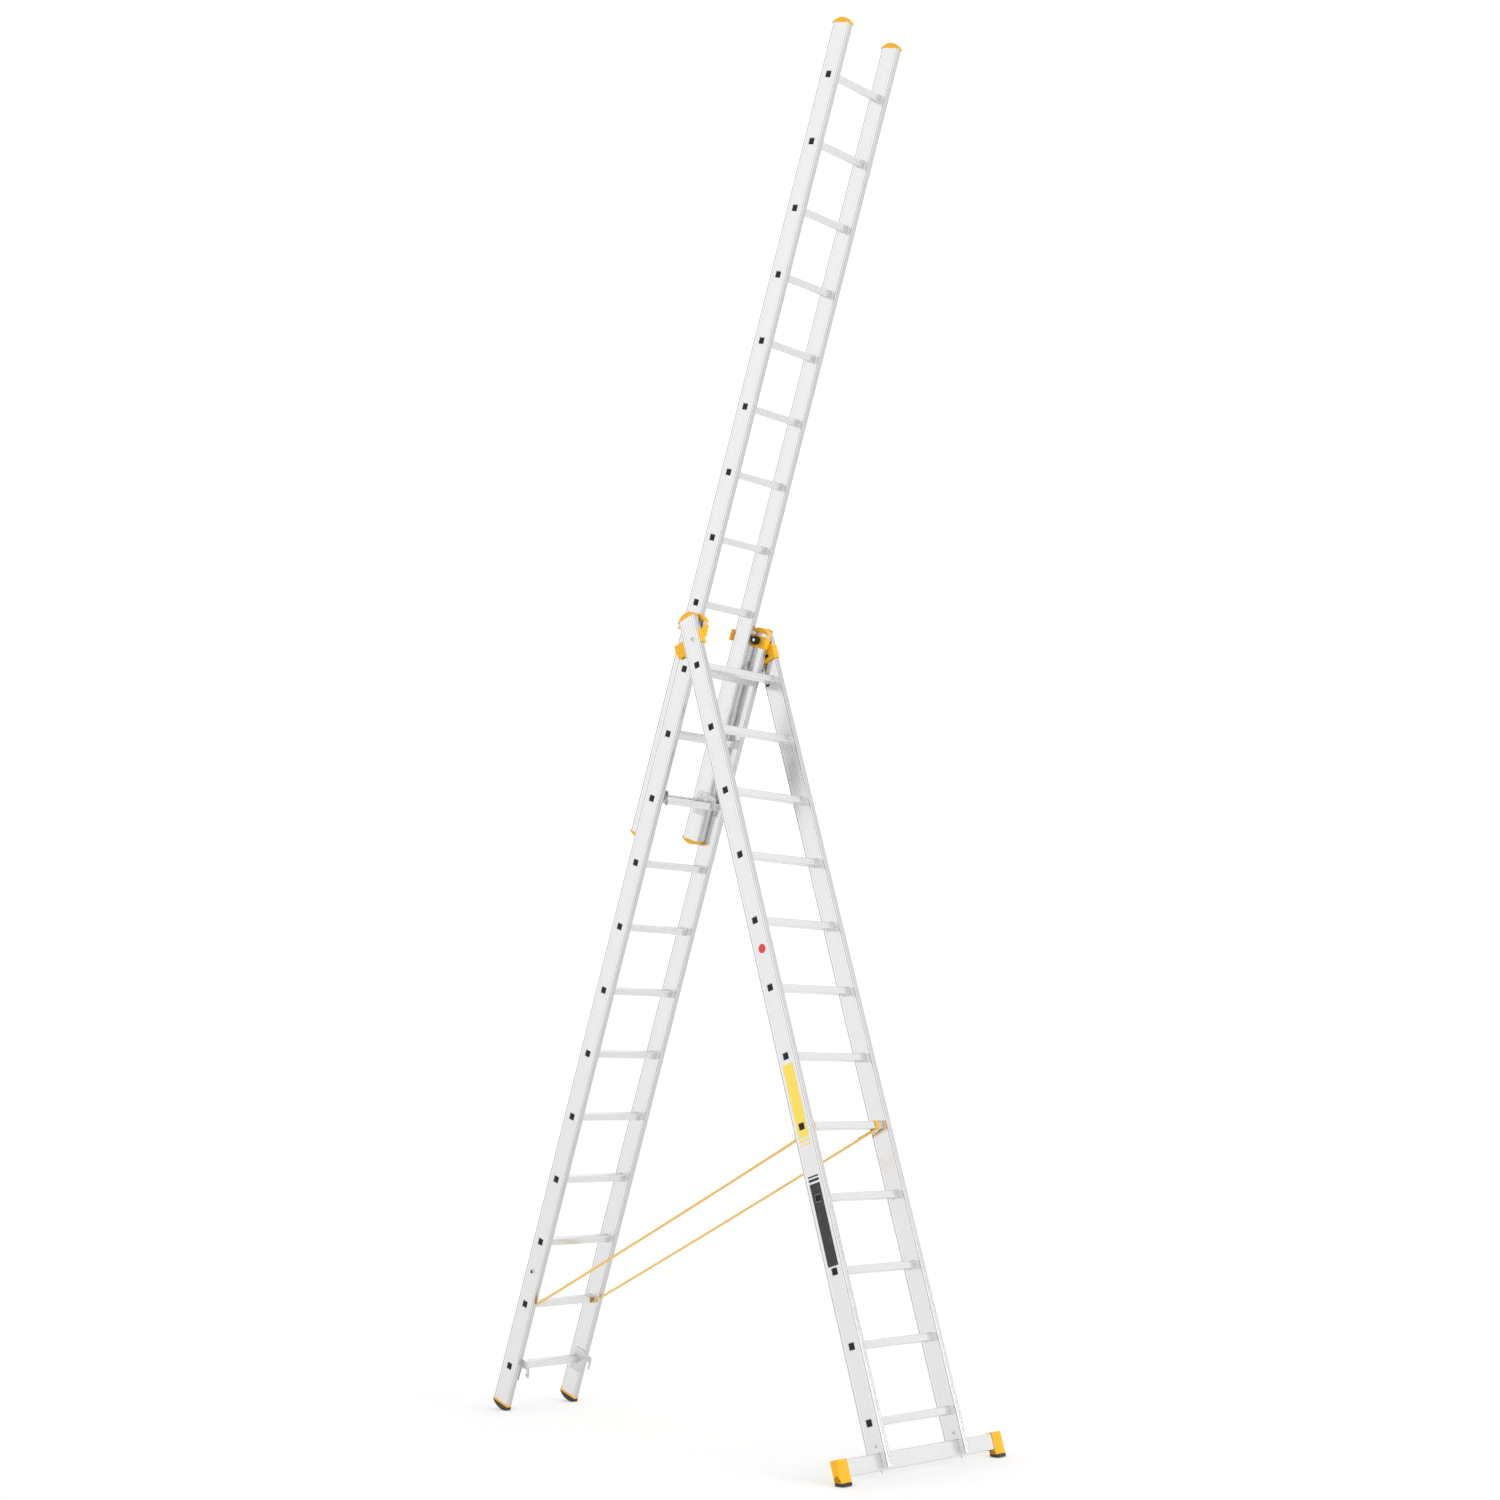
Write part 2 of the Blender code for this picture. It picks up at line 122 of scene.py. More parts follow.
# Labels on the left front stile: bars as (width, low, high) along it, and the disc
LABEL_BARS = {
    "upper": ((0.052, 1.078, 1.369), (0.052, 1.062, 1.070), (0.052, 1.047, 1.051)),
    "lower": ((0.052, 0.580, 0.897), (0.052, 0.905, 0.915), (0.052, 0.921, 0.927)),
}
LABEL_DISC = (-0.004, 1.840)
LABEL_FILM = (0.00005, 0.00035)


# ---------------------------------------------------------------- sizes and colours


def length_property(name, description, default):
    return bpy.props.FloatProperty(name=name, description=description, default=default,
                                   unit="LENGTH", precision=4, min=0.0)


def colour_property(name, description, default):
    return bpy.props.FloatVectorProperty(name=name, description=description, default=default,
                                         subtype="COLOR", size=3, min=0.0, max=1.0)


class LadderSizes(bpy.types.PropertyGroup):
    """Sizes of the fine shapes that the frame leaves open."""

    groove_depth: length_property("Groove depth", "Depth of the lines along the stiles", 0.0010)
    groove_width: length_property("Groove width", "Width of the lines along the stiles", 0.0040)
    rib_pitch: length_property("Rib pitch", "Distance between the ribs of a rung", 0.0032)
    rib_depth: length_property("Rib depth", "Depth between the ribs of a rung", 0.0006)
    collar_height: length_property("Collar height", "How far a rung's collar stands out", 0.0020)
    collar_length: length_property("Collar length", "Length of the collar along the rung", 0.014)
    plug_size: length_property("Plug size", "Width of the square plug in a rung's end", 0.0262)
    cap_rise: length_property("Cap rise", "Height of an end cap's dome", 0.0225)
    cap_lip: length_property("Cap lip", "How far an end cap's ends roll over the stile", 0.0050)
    strap_width: length_property("Strap width", "Width of the webbing", 0.025)
    strap_thickness: length_property("Strap thickness", "Thickness of the webbing", 0.0018)
    strap_tail: length_property("Strap tail", "Length sewn back at the front end", 0.070)
    edge_softness: length_property("Edge softness", "Rounding of moulded edges", 0.0016)
    tread_depth: length_property("Tread depth", "Depth of the grooves in the soles", 0.0016)


class LadderColours(bpy.types.PropertyGroup):
    """Colours of the finishes."""

    aluminium: colour_property("Aluminium", "Extruded aluminium", (0.80, 0.80, 0.80))
    yellow: colour_property("Yellow", "Moulded caps, brackets and feet", (0.93, 0.46, 0.010))
    black: colour_property("Black", "Plugs and locking knob", (0.010, 0.010, 0.011))
    rubber: colour_property("Rubber", "Soles and feet", (0.030, 0.031, 0.034))
    steel: colour_property("Steel", "Zinc-plated hooks and fasteners", (0.66, 0.66, 0.66))
    webbing: colour_property("Webbing", "Spreader straps", (0.93, 0.53, 0.025))
    label_light: colour_property("Light label", "Upper label strip", (0.98, 0.74, 0.08))
    label_dark: colour_property("Dark label", "Lower label strip", (0.020, 0.020, 0.022))
    label_disc: colour_property("Label disc", "Round label", (0.72, 0.035, 0.035))
    floor: colour_property("Floor", "Studio floor", (0.96, 0.96, 0.96))


def sizes():
    return bpy.context.scene.ladder_sizes


def colours():
    return bpy.context.scene.ladder_colours


# ---------------------------------------------------------------- sections of the ladder


def node_points(name):
    """A CAD node's vertices as an array."""
    return np.array([v.co for v in frame["nodes"][name].data.vertices])


def node_middle(name):
    low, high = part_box(name)
    return (low + high) / 2


class Section:
    """One ladder section, with its local space and the sizes of its extrusions."""

    def __init__(self, name):
        self.name = name
        self.body = name + "_section"
        first = node_middle(name + "_rung_01")
        last = node_middle(f"{name}_rung_{RUNG_NUMBERS[-1]:02d}")
        across = Vector((1, 0, 0))
        along = (last - first).normalized()
        turn = Matrix((across, along.cross(across), along)).transposed()
        self.place = Matrix.Translation(first) @ turn.to_4x4()
        self.pitch = (last - first).length / (len(RUNG_NUMBERS) - 1)
        stile_low, stile_high = self.local_box(name + "_stile_right")
        self.half_width = stile_high.x
        self.thick = stile_high.x - stile_low.x
        self.depth = stile_high.y - stile_low.y
        self.bottom = stile_low.z
        self.top = stile_high.z
        rung_low, rung_high = self.local_box(name + "_rung_02")
        self.rung_end = rung_high.x
        self.rung_size = rung_high.y - rung_low.y

    def local_box(self, node):
        """Lowest and highest corner of a CAD node in this section's space."""
        inverse = np.array(self.place.inverted())
        points = node_points(node) @ inverse[:3, :3].T + inverse[:3, 3]
        return Vector(points.min(0)), Vector(points.max(0))

    def rung_height(self, number):
        return (number - 1) * self.pitch

    @property
    def last_rung(self):
        return self.rung_height(RUNG_NUMBERS[-1])


FRONT, REAR, UPPER = (Section(name) for name in ("front", "rear", "upper"))
SECTIONS = (FRONT, REAR, UPPER)


# ---------------------------------------------------------------- mesh making


def arc(centre, radius, start, end, steps):
    """Points of an arc in a plane, from one angle to another in degrees."""
    angles = [math.radians(start + (end - start) * i / steps) for i in range(steps + 1)]
    return [(centre[0] + radius * math.cos(a), centre[1] + radius * math.sin(a)) for a in angles]


def extrusion_outline(width, depth, radius, grooves=(), steps=4):
    """A rounded rectangle, with grooves given as (face, place along it, half width, depth)."""
    points = []
    for face in range(4):
        half_out, half_along = ((width, depth) if face % 2 == 0 else (depth, width))
        half_out, half_along = half_out / 2, half_along / 2
        local = []
        for _, place, half, deep in sorted(g for g in grooves if g[0] == face):
            local += [(half_out, place - half), (half_out - deep, place - half / 2),
                      (half_out - deep, place + half / 2), (half_out, place + half)]
        local += arc((half_out - radius, half_along - radius), radius, 0, 90, steps)
        turn = math.pi / 2 * face
        cosine, sine = round(math.cos(turn)), round(math.sin(turn))
        points += [(a * cosine - b * sine, a * sine + b * cosine) for a, b in local]
    return points


def rounded_outline(corners, radius, steps=4):
    """A polygon whose corners are rounded, in the order that it is given."""
    points = []
    count = len(corners)
    for i, corner in enumerate(corners):
        here = Vector(corner)
        back = Vector(corners[i - 1]) - here
        ahead = Vector(corners[(i + 1) % count]) - here
        reach = min(radius, 0.45 * back.length, 0.45 * ahead.length)
        start, end = here + back.normalized() * reach, here + ahead.normalized() * reach
        for step in range(steps + 1):
            t = step / steps
            points.append(tuple(start * (1 - t) ** 2 + here * 2 * t * (1 - t) + end * t ** 2))
    return points


def circle(radius, count, flutes=0, flute_depth=0.0):
    """Points of a circle in a plane, with shallow flutes round it where asked."""
    points = []
    for i in range(count):
        angle = math.tau * i / count
        reach = radius - flute_depth * (0.5 - 0.5 * math.cos(flutes * angle)) if flutes else radius
        points.append((reach * math.cos(angle), reach * math.sin(angle)))
    return points


def made_mesh(name, work, sharp=SHARP_ANGLE):
    """Turns a bmesh into a mesh whose round faces are smooth and whose corners are sharp."""
    bmesh.ops.recalc_face_normals(work, faces=work.faces)
    mesh = bpy.data.meshes.new(name)
    work.to_mesh(mesh)
    work.free()
    mesh.shade_smooth()
    mesh.set_sharp_from_angle(angle=math.radians(sharp))
    return mesh


def ring_mesh(name, rings, joined=False, sharp=SHARP_ANGLE):
    """A skin over rings of equally many points, closed by a face at each end or back to the first."""
    work = bmesh.new()
    loops = [[work.verts.new(point) for point in ring] for ring in rings]
    pairs = list(zip(loops, loops[1:])) + ([(loops[-1], loops[0])] if joined else [])
    for lower, upper in pairs:
        for i in range(len(lower)):
            j = (i + 1) % len(lower)
            work.faces.new((lower[i], lower[j], upper[j], upper[i]))
    if not joined:
        work.faces.new(loops[0][::-1])
        work.faces.new(loops[-1])
    bmesh.ops.remove_doubles(work, verts=work.verts, dist=1e-6)
    return made_mesh(name, work, sharp)


def level_rings(*levels):
    """Rings in space, from outlines in X and Y with their heights."""
    return [[(x, y, z) for x, y in outline] for outline, z in levels]


def tube_mesh(name, outline, width, depth, wall, low, high):
    """An open-ended hollow extrusion along Z."""
    reach_x, reach_y = width / 2 - wall, depth / 2 - wall
    inner = [(max(-reach_x, min(reach_x, x)), max(-reach_y, min(reach_y, y))) for x, y in outline]
    return ring_mesh(name, level_rings((outline, low), (outline, high), (inner, high), (inner, low)),
                     joined=True)


def side_plate(name, outline, low, high, bevel=0.0):
    """A flat plate whose outline is in Y and Z, between two places in X, with rounded edges."""
    work = bmesh.new()
    face = work.faces.new([work.verts.new((low, y, z)) for y, z in outline])
    moved = bmesh.ops.extrude_face_region(work, geom=[face])
    verts = [item for item in moved["geom"] if isinstance(item, bmesh.types.BMVert)]
    bmesh.ops.translate(work, verts=verts, vec=(high - low, 0, 0))
    bmesh.ops.recalc_face_normals(work, faces=work.faces)
    if bevel:
        rims = [edge for edge in work.edges
                if abs(edge.verts[0].co.x - edge.verts[1].co.x) < 1e-7]
        bmesh.ops.bevel(work, geom=rims, offset=bevel, segments=3, profile=0.5,
                        affect="EDGES", clamp_overlap=True)
    return made_mesh(name, work)


def box_mesh(name, *boxes):
    """Plain boxes in one mesh, for cutting."""
    work = bmesh.new()
    for low, high in boxes:
        middle = (Vector(low) + Vector(high)) / 2
        extent = Vector(high) - Vector(low)
        bmesh.ops.create_cube(work, size=1.0,
                              matrix=Matrix.Translation(middle) @ Matrix.Diagonal((*extent, 1.0)))
    return made_mesh(name, work)


def turned_mesh(name, profile, count=32, flutes=0, flute_depth=0.0):
    """A turned piece on the X axis. The profile is (place along X, radius[, is it fluted])."""
    rings = []
    for place, radius, *fluted in profile:
        points = circle(radius, count, flutes if any(fluted) else 0, flute_depth)
        rings.append([(place, y, z) for y, z in points])
    return ring_mesh(name, rings)


def mirrored(mesh):
    """The mesh's mirror image across the ladder's middle plane."""
    copy = mesh.copy()
    copy.transform(Matrix.Diagonal((-1.0, 1.0, 1.0, 1.0)))
    copy.flip_normals()
    return copy


def cut(mesh, *cutters):
    """The mesh with the cutters' volumes taken away."""
    scene = bpy.context.scene.collection
    item = bpy.data.objects.new("workpiece", mesh)
    scene.objects.link(item)
    tools = []
    for cutter in cutters:
        tool = bpy.data.objects.new("cutter", cutter)
        scene.objects.link(tool)
        modifier = item.modifiers.new("cut", "BOOLEAN")
        modifier.operation = "DIFFERENCE"
        modifier.object = tool
        tools.append(tool)
    graph = bpy.context.evaluated_depsgraph_get()
    result = bpy.data.meshes.new_from_object(item.evaluated_get(graph))
    result.name = mesh.name
    for used in (item, *tools):
        bpy.data.objects.remove(used)
    result.shade_smooth()
    result.set_sharp_from_angle(angle=math.radians(SHARP_ANGLE))
    return result


def softened(node, section, width, sharp=SHARP_ANGLE):
    """A CAD node's shape in its section's space, with its edges rounded."""
    work = bmesh.new()
    work.from_mesh(frame["nodes"][node].data)
    work.transform(section.place.inverted())
    bmesh.ops.remove_doubles(work, verts=work.verts, dist=1e-5)
    bmesh.ops.dissolve_limit(work, angle_limit=math.radians(1), verts=work.verts,
                             edges=work.edges)
    edges = [edge for edge in work.edges
             if len(edge.link_faces) == 2 and edge.calc_face_angle(0.0) > math.radians(25)]
    bmesh.ops.bevel(work, geom=edges, offset=width, segments=2, profile=0.5,
                    affect="EDGES", clamp_overlap=True)
    return made_mesh(node + "_softened", work, sharp)


def place_piece(name, mesh, finish, body, place=None, replaces=()):
    """Puts a piece into the scene with its finish, and makes it ride on its body."""
    mesh.materials.clear()
    mesh.materials.append(finish)
    piece = bpy.data.objects.new(name, mesh)
    bpy.context.scene.collection.objects.link(piece)
    if place is not None:
        piece.matrix_world = place
    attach(piece, body)
    if replaces:
        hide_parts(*replaces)
    return piece


def place_pair(name, mesh, finish, section, node=None):
    """Puts a piece on a section's right side and its mirror image on the left."""
    for side, shape in (("right", mesh), ("left", mirrored(mesh))):
        place_piece(f"{name}_{side}", shape, finish, section.body, section.place,
                    (f"{node}_{side}",) if node else ())


# ---------------------------------------------------------------- shader expressions


class Value:
    """A shader socket that can be used in Python expressions."""

    def __init__(self, finish, socket):
        self.finish = finish
        self.socket = socket

    def maths(self, operation, first, second=0.0):
        return self.finish.node("ShaderNodeMath", {"operation": operation}, {0: first, 1: second})

    def __add__(self, other):
        return self.maths("ADD", self, other)

    __radd__ = __add__

    def __mul__(self, other):
        return self.maths("MULTIPLY", self, other)

    __rmul__ = __mul__

    def __sub__(self, other):
        return self.maths("SUBTRACT", self, other)

    def __rsub__(self, other):
        return self.maths("SUBTRACT", other, self)

    def __gt__(self, other):
        return self.maths("GREATER_THAN", self, other)


class Finish:
    """A material made of expressions, on one Principled shader."""

    def __init__(self, name, roughness, metallic=0.0, **constants):
        self.material = bpy.data.materials.new(name)
        self.material.use_nodes = True
        self.tree = self.material.node_tree
        self.shader = self.tree.nodes["Principled BSDF"]
        self.shader.inputs["Roughness"].default_value = roughness
        self.shader.inputs["Metallic"].default_value = metallic
        for socket, amount in constants.items():
            self.shader.inputs[socket.replace("_", " ")].default_value = amount

    def node(self, kind, settings=None, inputs=None, output=0):
        """Adds a node: its type, its settings, then the values or links of its sockets."""
        made = self.tree.nodes.new(kind)
        for key, setting in (settings or {}).items():
            if key == "stops":
                for element, (position, shade) in zip(made.color_ramp.elements, setting):
                    element.position = position
                    element.color = (shade, shade, shade, 1.0)
            else:
                setattr(made, key, setting)
        for key, given in (inputs or {}).items():
            if isinstance(given, Value):
                self.tree.links.new(given.socket, made.inputs[key])
            else:
                made.inputs[key].default_value = given
        return Value(self, made.outputs[output])

    def place(self, stretch=(1.0, 1.0, 1.0)):
        """Object space, stretched."""
        spot = self.node("ShaderNodeTexCoord", output="Object")
        return self.node("ShaderNodeVectorMath", {"operation": "MULTIPLY"},
                         {0: spot, 1: stretch})

    def noise(self, scale, detail=2.0, stretch=(1.0, 1.0, 1.0)):
        return self.node("ShaderNodeTexNoise", None,
                         {"Vector": self.place(stretch), "Scale": scale, "Detail": detail})

    def ramp(self, value, low, high):
        """0 below low and 1 above high."""
        return self.node("ShaderNodeValToRGB", {"stops": ((low, 0.0), (high, 1.0))},
                         {"Fac": value})

    def mix(self, factor, first, second):
        """A blend of two colours."""
        first, second = ((*c, 1.0) if isinstance(c, tuple) else c for c in (first, second))
        return self.node("ShaderNodeMix", {"data_type": "RGBA"},
                         {"Factor": factor, 6: first, 7: second}, output=2)

    def band(self, value, low, high):
        """1 between low and high, 0 outside."""
        return (value > low) * (1.0 - (value > high))

    def bump(self, height, distance, strength=1.0):
        return self.node("ShaderNodeBump", None,
                         {"Height": height, "Distance": distance, "Strength": strength})

    def done(self, colour, roughness=None, normal=None):
        """Links what varies to the shader, and gives the material."""
        for socket, value in (("Base Color", colour), ("Roughness", roughness),
                              ("Normal", normal)):
            if value is not None:
                self.tree.links.new(value.socket, self.shader.inputs[socket])
        return self.material


def shade(colour, amount):
    """A colour made lighter or darker."""
    return tuple(min(1.0, c * amount) for c in colour)


def once(make):
    """A finish is made the first time that a piece asks for it."""
    kept = {}

    def finish(*arguments):
        if arguments not in kept:
            kept[arguments] = make(*arguments)
        return kept[arguments]

    return finish


@once
def extruded_aluminium(part):
    """Bright extrusion: die lines along its length, and a faint cloudy oxide. On stiles, painted
    shade darkens the grooves and the narrow faces, and the middle of each broad face is a little
    darker.
    """
    colour = shade(colours().aluminium, {"stile": 1.0, "rung": 0.96, "bar": 0.90}[part])
    along = (1.0, 1.0, 0.02) if part == "stile" else (0.02, 1.0, 1.0)
    finish = Finish(f"aluminium_{part}", 0.2, metallic=0.97)
    fine = finish.noise(900.0, 3.0, along)
    broad = finish.noise(140.0, 2.0, along)
    cloud = finish.noise(9.0, 3.0)
    lines = fine * 0.6 + broad * 0.4
    tone = finish.mix(lines, shade(colour, 0.96), shade(colour, 1.04))
    tone = finish.mix(finish.ramp(cloud, 0.35, 0.75) * 0.2, tone, shade(colour, 1.06))
    if part == "stile":
        across = finish.node("ShaderNodeSeparateXYZ", None, {"Vector": finish.place()}, output=1)
        reach = finish.node("ShaderNodeMath", {"operation": "ABSOLUTE"}, {0: across})
        half = FRONT.depth / 2
        inner = (INNER_LINE - 0.020) * half, (INNER_LINE + 0.015) * half
        outer = (OUTER_LINE - 0.025) * half, (OUTER_LINE + 0.025) * half
        # Middle of each broad face a little darker.
        tone = finish.mix(finish.band(reach, 0.0, inner[0]) * 0.5, tone, shade(colour, 0.90))
        # Painted shade in the grooves near the narrow faces.
        tone = finish.mix(finish.band(reach, *outer), tone, shade(colour, 0.55))
        # Painted shade in the grooves nearer the middle of the broad faces.
        tone = finish.mix(finish.band(reach, *inner), tone, shade(colour, 0.76))
        # Painted shade: the narrow front and rear faces darkened.
        tone = finish.mix(reach > half - 0.0008, tone, shade(colour, 0.74))
    rough = lines * 0.10 + cloud * 0.06 + (0.20 if part == "bar" else 0.11)
    return finish.done(tone, rough, finish.bump(fine, 0.00005, 0.4))


@once
def moulded_yellow():
    """Glass-filled moulding: fine spark grain, slight flow marks and paler rubbed patches."""
    colour = colours().yellow
    finish = Finish("plastic_yellow", 0.42, Specular_IOR_Level=0.25)
    flow = finish.noise(28.0, 3.0, (1.0, 1.0, 0.5))
    grain = finish.noise(1400.0, 2.0)
    rubbed = finish.ramp(finish.noise(75.0, 4.0), 0.56, 0.72)
    tone = finish.mix(flow, shade(colour, 0.90), shade(colour, 1.06))
    tone = finish.mix(rubbed * 0.22, tone, (1.0, 0.62, 0.08))
    rough = 0.36 + grain * 0.10 + rubbed * 0.08
    return finish.done(tone, rough, finish.bump(grain, 0.0001, 0.35))


@once
def shaded_orange():
    """Painted shade at the bottom of the sleeve's deep pockets: the same moulding, painted dark
    orange and mottled.
    """
    finish = Finish("plastic_recess", 0.7)
    shade_mottle = finish.noise(300.0, 3.0)
    tone = finish.mix(shade_mottle, (0.34, 0.045, 0.003), shade(colours().yellow, 0.40))
    return finish.done(tone, 0.6 + shade_mottle * 0.2)


@once
def moulded_black():
    """Black moulding with fine grain and grey scuffs."""
    colour = shade(colours().black, 1.0)
    finish = Finish("plastic_black", 0.5, Specular_IOR_Level=0.25)
    grain = finish.noise(1600.0, 2.0)
    scuff = finish.ramp(finish.noise(160.0, 5.0, (1.0, 0.3, 1.0)), 0.60, 0.74)
    tone = finish.mix(scuff * 0.4, colour, shade(colour, 3.0))
    return finish.done(tone, 0.46 + grain * 0.16 + scuff * 0.12,
                       finish.bump(grain, 0.0001, 0.35))


@once
def tread_rubber():
    """Matt rubber with dust in its surface."""
    colour = shade(colours().rubber, 1.0)
    finish = Finish("rubber_sole", 0.6)
    grain = finish.noise(900.0, 4.0)
    dust = finish.ramp(finish.noise(60.0, 5.0), 0.50, 0.72)
    tone = finish.mix(dust * 0.4, colour, (0.12, 0.117, 0.11))
    return finish.done(tone, 0.62 + grain * 0.22 + dust * 0.08,
                       finish.bump(grain, 0.0002, 0.6))


@once
def zinc_steel():
    """Zinc-plated steel: soft spangle, drawn lines and a little dulling."""
    colour = colours().steel
    finish = Finish("steel_zinc", 0.38, metallic=0.9)
    spangle = finish.node("ShaderNodeTexVoronoi", {"feature": "F1"},
                          {"Vector": finish.place(), "Scale": 260.0}, output="Color")
    spangle = finish.node("ShaderNodeSeparateColor", None, {"Color": spangle})
    drawn = finish.noise(1200.0, 2.0, (1.0, 1.0, 0.05))
    dull = finish.ramp(finish.noise(90.0, 4.0), 0.50, 0.70)
    tone = finish.mix(spangle * 0.5 + drawn * 0.5, shade(colour, 0.86), shade(colour, 1.16))
    tone = finish.mix(dull * 0.3, tone, shade(colour, 0.72))
    return finish.done(tone, 0.26 + spangle * 0.10 + dull * 0.18,
                       finish.bump(drawn, 0.00005, 0.4))


@once
def woven_webbing():
    """Flat webbing: a herringbone of warp yarns crossed by the weft, with fuzz."""
    colour = colours().webbing
    finish = Finish("webbing_yellow", 0.80, Sheen_Weight=0.25)
    spot = finish.place()
    warp = finish.node("ShaderNodeTexWave", {"wave_type": "BANDS", "bands_direction": "X"},
                       {"Vector": spot, "Scale": 240.0, "Distortion": 0.6, "Detail": 1.0})
    weft = finish.node("ShaderNodeTexWave", {"wave_type": "BANDS", "bands_direction": "Z"},
                       {"Vector": spot, "Scale": 190.0, "Distortion": 0.8, "Detail": 1.0})
    fuzz = finish.noise(2200.0, 2.0)
    weave = warp * weft
    tone = finish.mix(weave * 0.8 + fuzz * 0.2, shade(colour, 0.78), shade(colour, 1.06))
    return finish.done(tone, 0.70 + fuzz * 0.16, finish.bump(weave, 0.0004, 0.7))


@once
def stitching():
    """Sewing thread in short twisted runs."""
    colour = shade(colours().webbing, 0.78)
    finish = Finish("thread_yellow", 0.7)
    twist = finish.noise(1800.0, 2.0, (1.0, 0.4, 0.4))
    tone = finish.mix(twist, shade(colour, 0.6), colour)
    return finish.done(tone, 0.6 + twist * 0.2, finish.bump(twist, 0.0002, 0.6))


@once
def vinyl_label(which):
    """Printed vinyl without lettering, a little uneven and scratched."""
    colour = getattr(colours(), which)
    finish = Finish("vinyl_" + which, 0.32, Specular_IOR_Level=0.5)
    ink = finish.noise(420.0, 3.0)
    scratch = finish.ramp(finish.noise(260.0, 3.0, (1.0, 1.0, 0.08)), 0.66, 0.74)
    tone = finish.mix(ink, shade(colour, 0.90), shade(colour, 1.05))
    tone = finish.mix(scratch * 0.2, tone, (0.75, 0.75, 0.74))
    return finish.done(tone, 0.24 + ink * 0.12 + scratch * 0.2,
                       finish.bump(ink, 0.00004, 0.3))


@once
def pale_plastic():
    """Pale button in the middle of the locking knob."""
    finish = Finish("plastic_pale", 0.35)
    grain = finish.noise(900.0, 2.0)
    tone = finish.mix(grain, (0.84, 0.84, 0.83), (0.94, 0.94, 0.93))
    return finish.done(tone, 0.30 + grain * 0.12)


@once
def studio_floor():
    """Matt white floor."""
    colour = shade(colours().floor, 1.0)
    finish = Finish("studio_floor", 0.9, Specular_IOR_Level=0.1,
                    Emission_Color=(1.0, 1.0, 1.0, 1.0), Emission_Strength=0.15)
    tone = finish.mix(finish.noise(0.6, 2.0), shade(colour, 0.995), colour)
    return finish.done(tone)


# ---------------------------------------------------------------- extrusions and rungs


def stile_grooves(section):
    """Long lines of the stile's die: four on each broad face, two on each narrow one."""
    half, deep = sizes().groove_width / 2, sizes().groove_depth
    broad, narrow = (FACE_OUT, FACE_IN), (FACE_REAR, FACE_FRONT)
    rows = ((broad, INNER_LINE * section.depth / 2, half, deep),
            (broad, OUTER_LINE * section.depth / 2, half * 0.7, deep * 1.4),
            (narrow, 0.4 * section.thick / 2, half * 0.6, deep))
    return [(face, sign * place, width, depth)
            for faces, place, width, depth in rows for face in faces for sign in (-1, 1)]


def rung_holes(section, low_x, high_x, half):
    """Square holes on the rungs' axes, for cutting."""
    return box_mesh("rung_holes", *[((low_x, -half, section.rung_height(n) - half),
                                     (high_x, half, section.rung_height(n) + half))
                                    for n in RUNG_NUMBERS])


def build_stiles(section):
    """Hollow stiles with the rungs' holes, and with a notch for the bar in the front ones."""
    outline = extrusion_outline(section.thick, section.depth, STILE_CORNER,
                                stile_grooves(section))
    mesh = tube_mesh(f"{section.name}_stile", outline, section.thick, section.depth,
                     STILE_WALL, section.bottom, section.top)
    mesh.transform(Matrix.Translation((section.half_width - section.thick / 2, 0, 0)))
    cutters = [rung_holes(section, 0, 1, section.rung_size / 2 + HOLE_CLEARANCE)]
    if section is FRONT:
        bar_low, bar_high = section.local_box("stabiliser_bar")
        cutters.append(box_mesh("bar_notch", ((0, bar_low.y - 0.0005, section.bottom - 0.1),
                                              (1, section.depth, bar_high.z + 0.001))))
    place_pair(f"stile_{section.name}", cut(mesh, *cutters), extruded_aluminium("stile"),
               section, f"{section.name}_stile")


def rung_outline(section, grow=0.0):
    """Square tube with fine ribs on all four faces, optionally swollen for the collar."""
    size = section.rung_size
    pitch, deep = sizes().rib_pitch, sizes().rib_depth
    count = int((size / 2 - 0.004) / pitch)
    ribs = [(face, k * pitch, pitch * 0.30, deep)
            for face in range(4) for k in range(-count, count + 1)]
    swell = 1 + 2 * grow / size
    return [(a * swell, b * swell) for a, b in extrusion_outline(size, size, 0.0028, ribs, 3)]


def rung_mesh(section):
    """A rung with a swaged collar against the inner face of each stile."""
    collar, height = sizes().collar_length, sizes().collar_height
    inner = section.half_width - section.thick - SKIN
    steps = [(inner, height), (inner - collar * 0.35, height),
             (inner - collar * 0.75, height * 0.45), (inner - collar, 0.0)]
    ends = [(section.rung_end, 0.0), (inner + 2 * SKIN, 0.0), *steps]
    rings = []
    for place, grow in [(-x, g) for x, g in ends] + ends[::-1]:
        rings.append([(place, y, z) for y, z in rung_outline(section, grow)])
    return ring_mesh(f"{section.name}_rung", rings, sharp=32)


def build_rungs(section):
    """The same rung at every height."""
    mesh = rung_mesh(section)
    for number in RUNG_NUMBERS:
        place = section.place @ Matrix.Translation((0, 0, section.rung_height(number)))
        place_piece(f"rung_{section.name}_{number:02d}", mesh, extruded_aluminium("rung"),
                    section.body, place, (f"{section.name}_rung_{number:02d}",))


def plug_mesh():
    """Square plug with a soft rim and a raised bar across its middle."""
    size = sizes().plug_size
    rings = []
    for place, share, radius in ((-SUNK, 1.0, 0.0030), (0.0004, 1.0, 0.0030),
                                 (0.0010, 0.95, 0.0028), (0.0010, 0.80, 0.0022),
                                 (0.0003, 0.76, 0.0020), (0.0003, 0.20, 0.0010),
                                 (0.0010, 0.17, 0.0008)):
        outline = extrusion_outline(size * share, size * share, radius)
        rings.append([(place, y, z) for y, z in outline])
    return ring_mesh("rung_plug", rings)


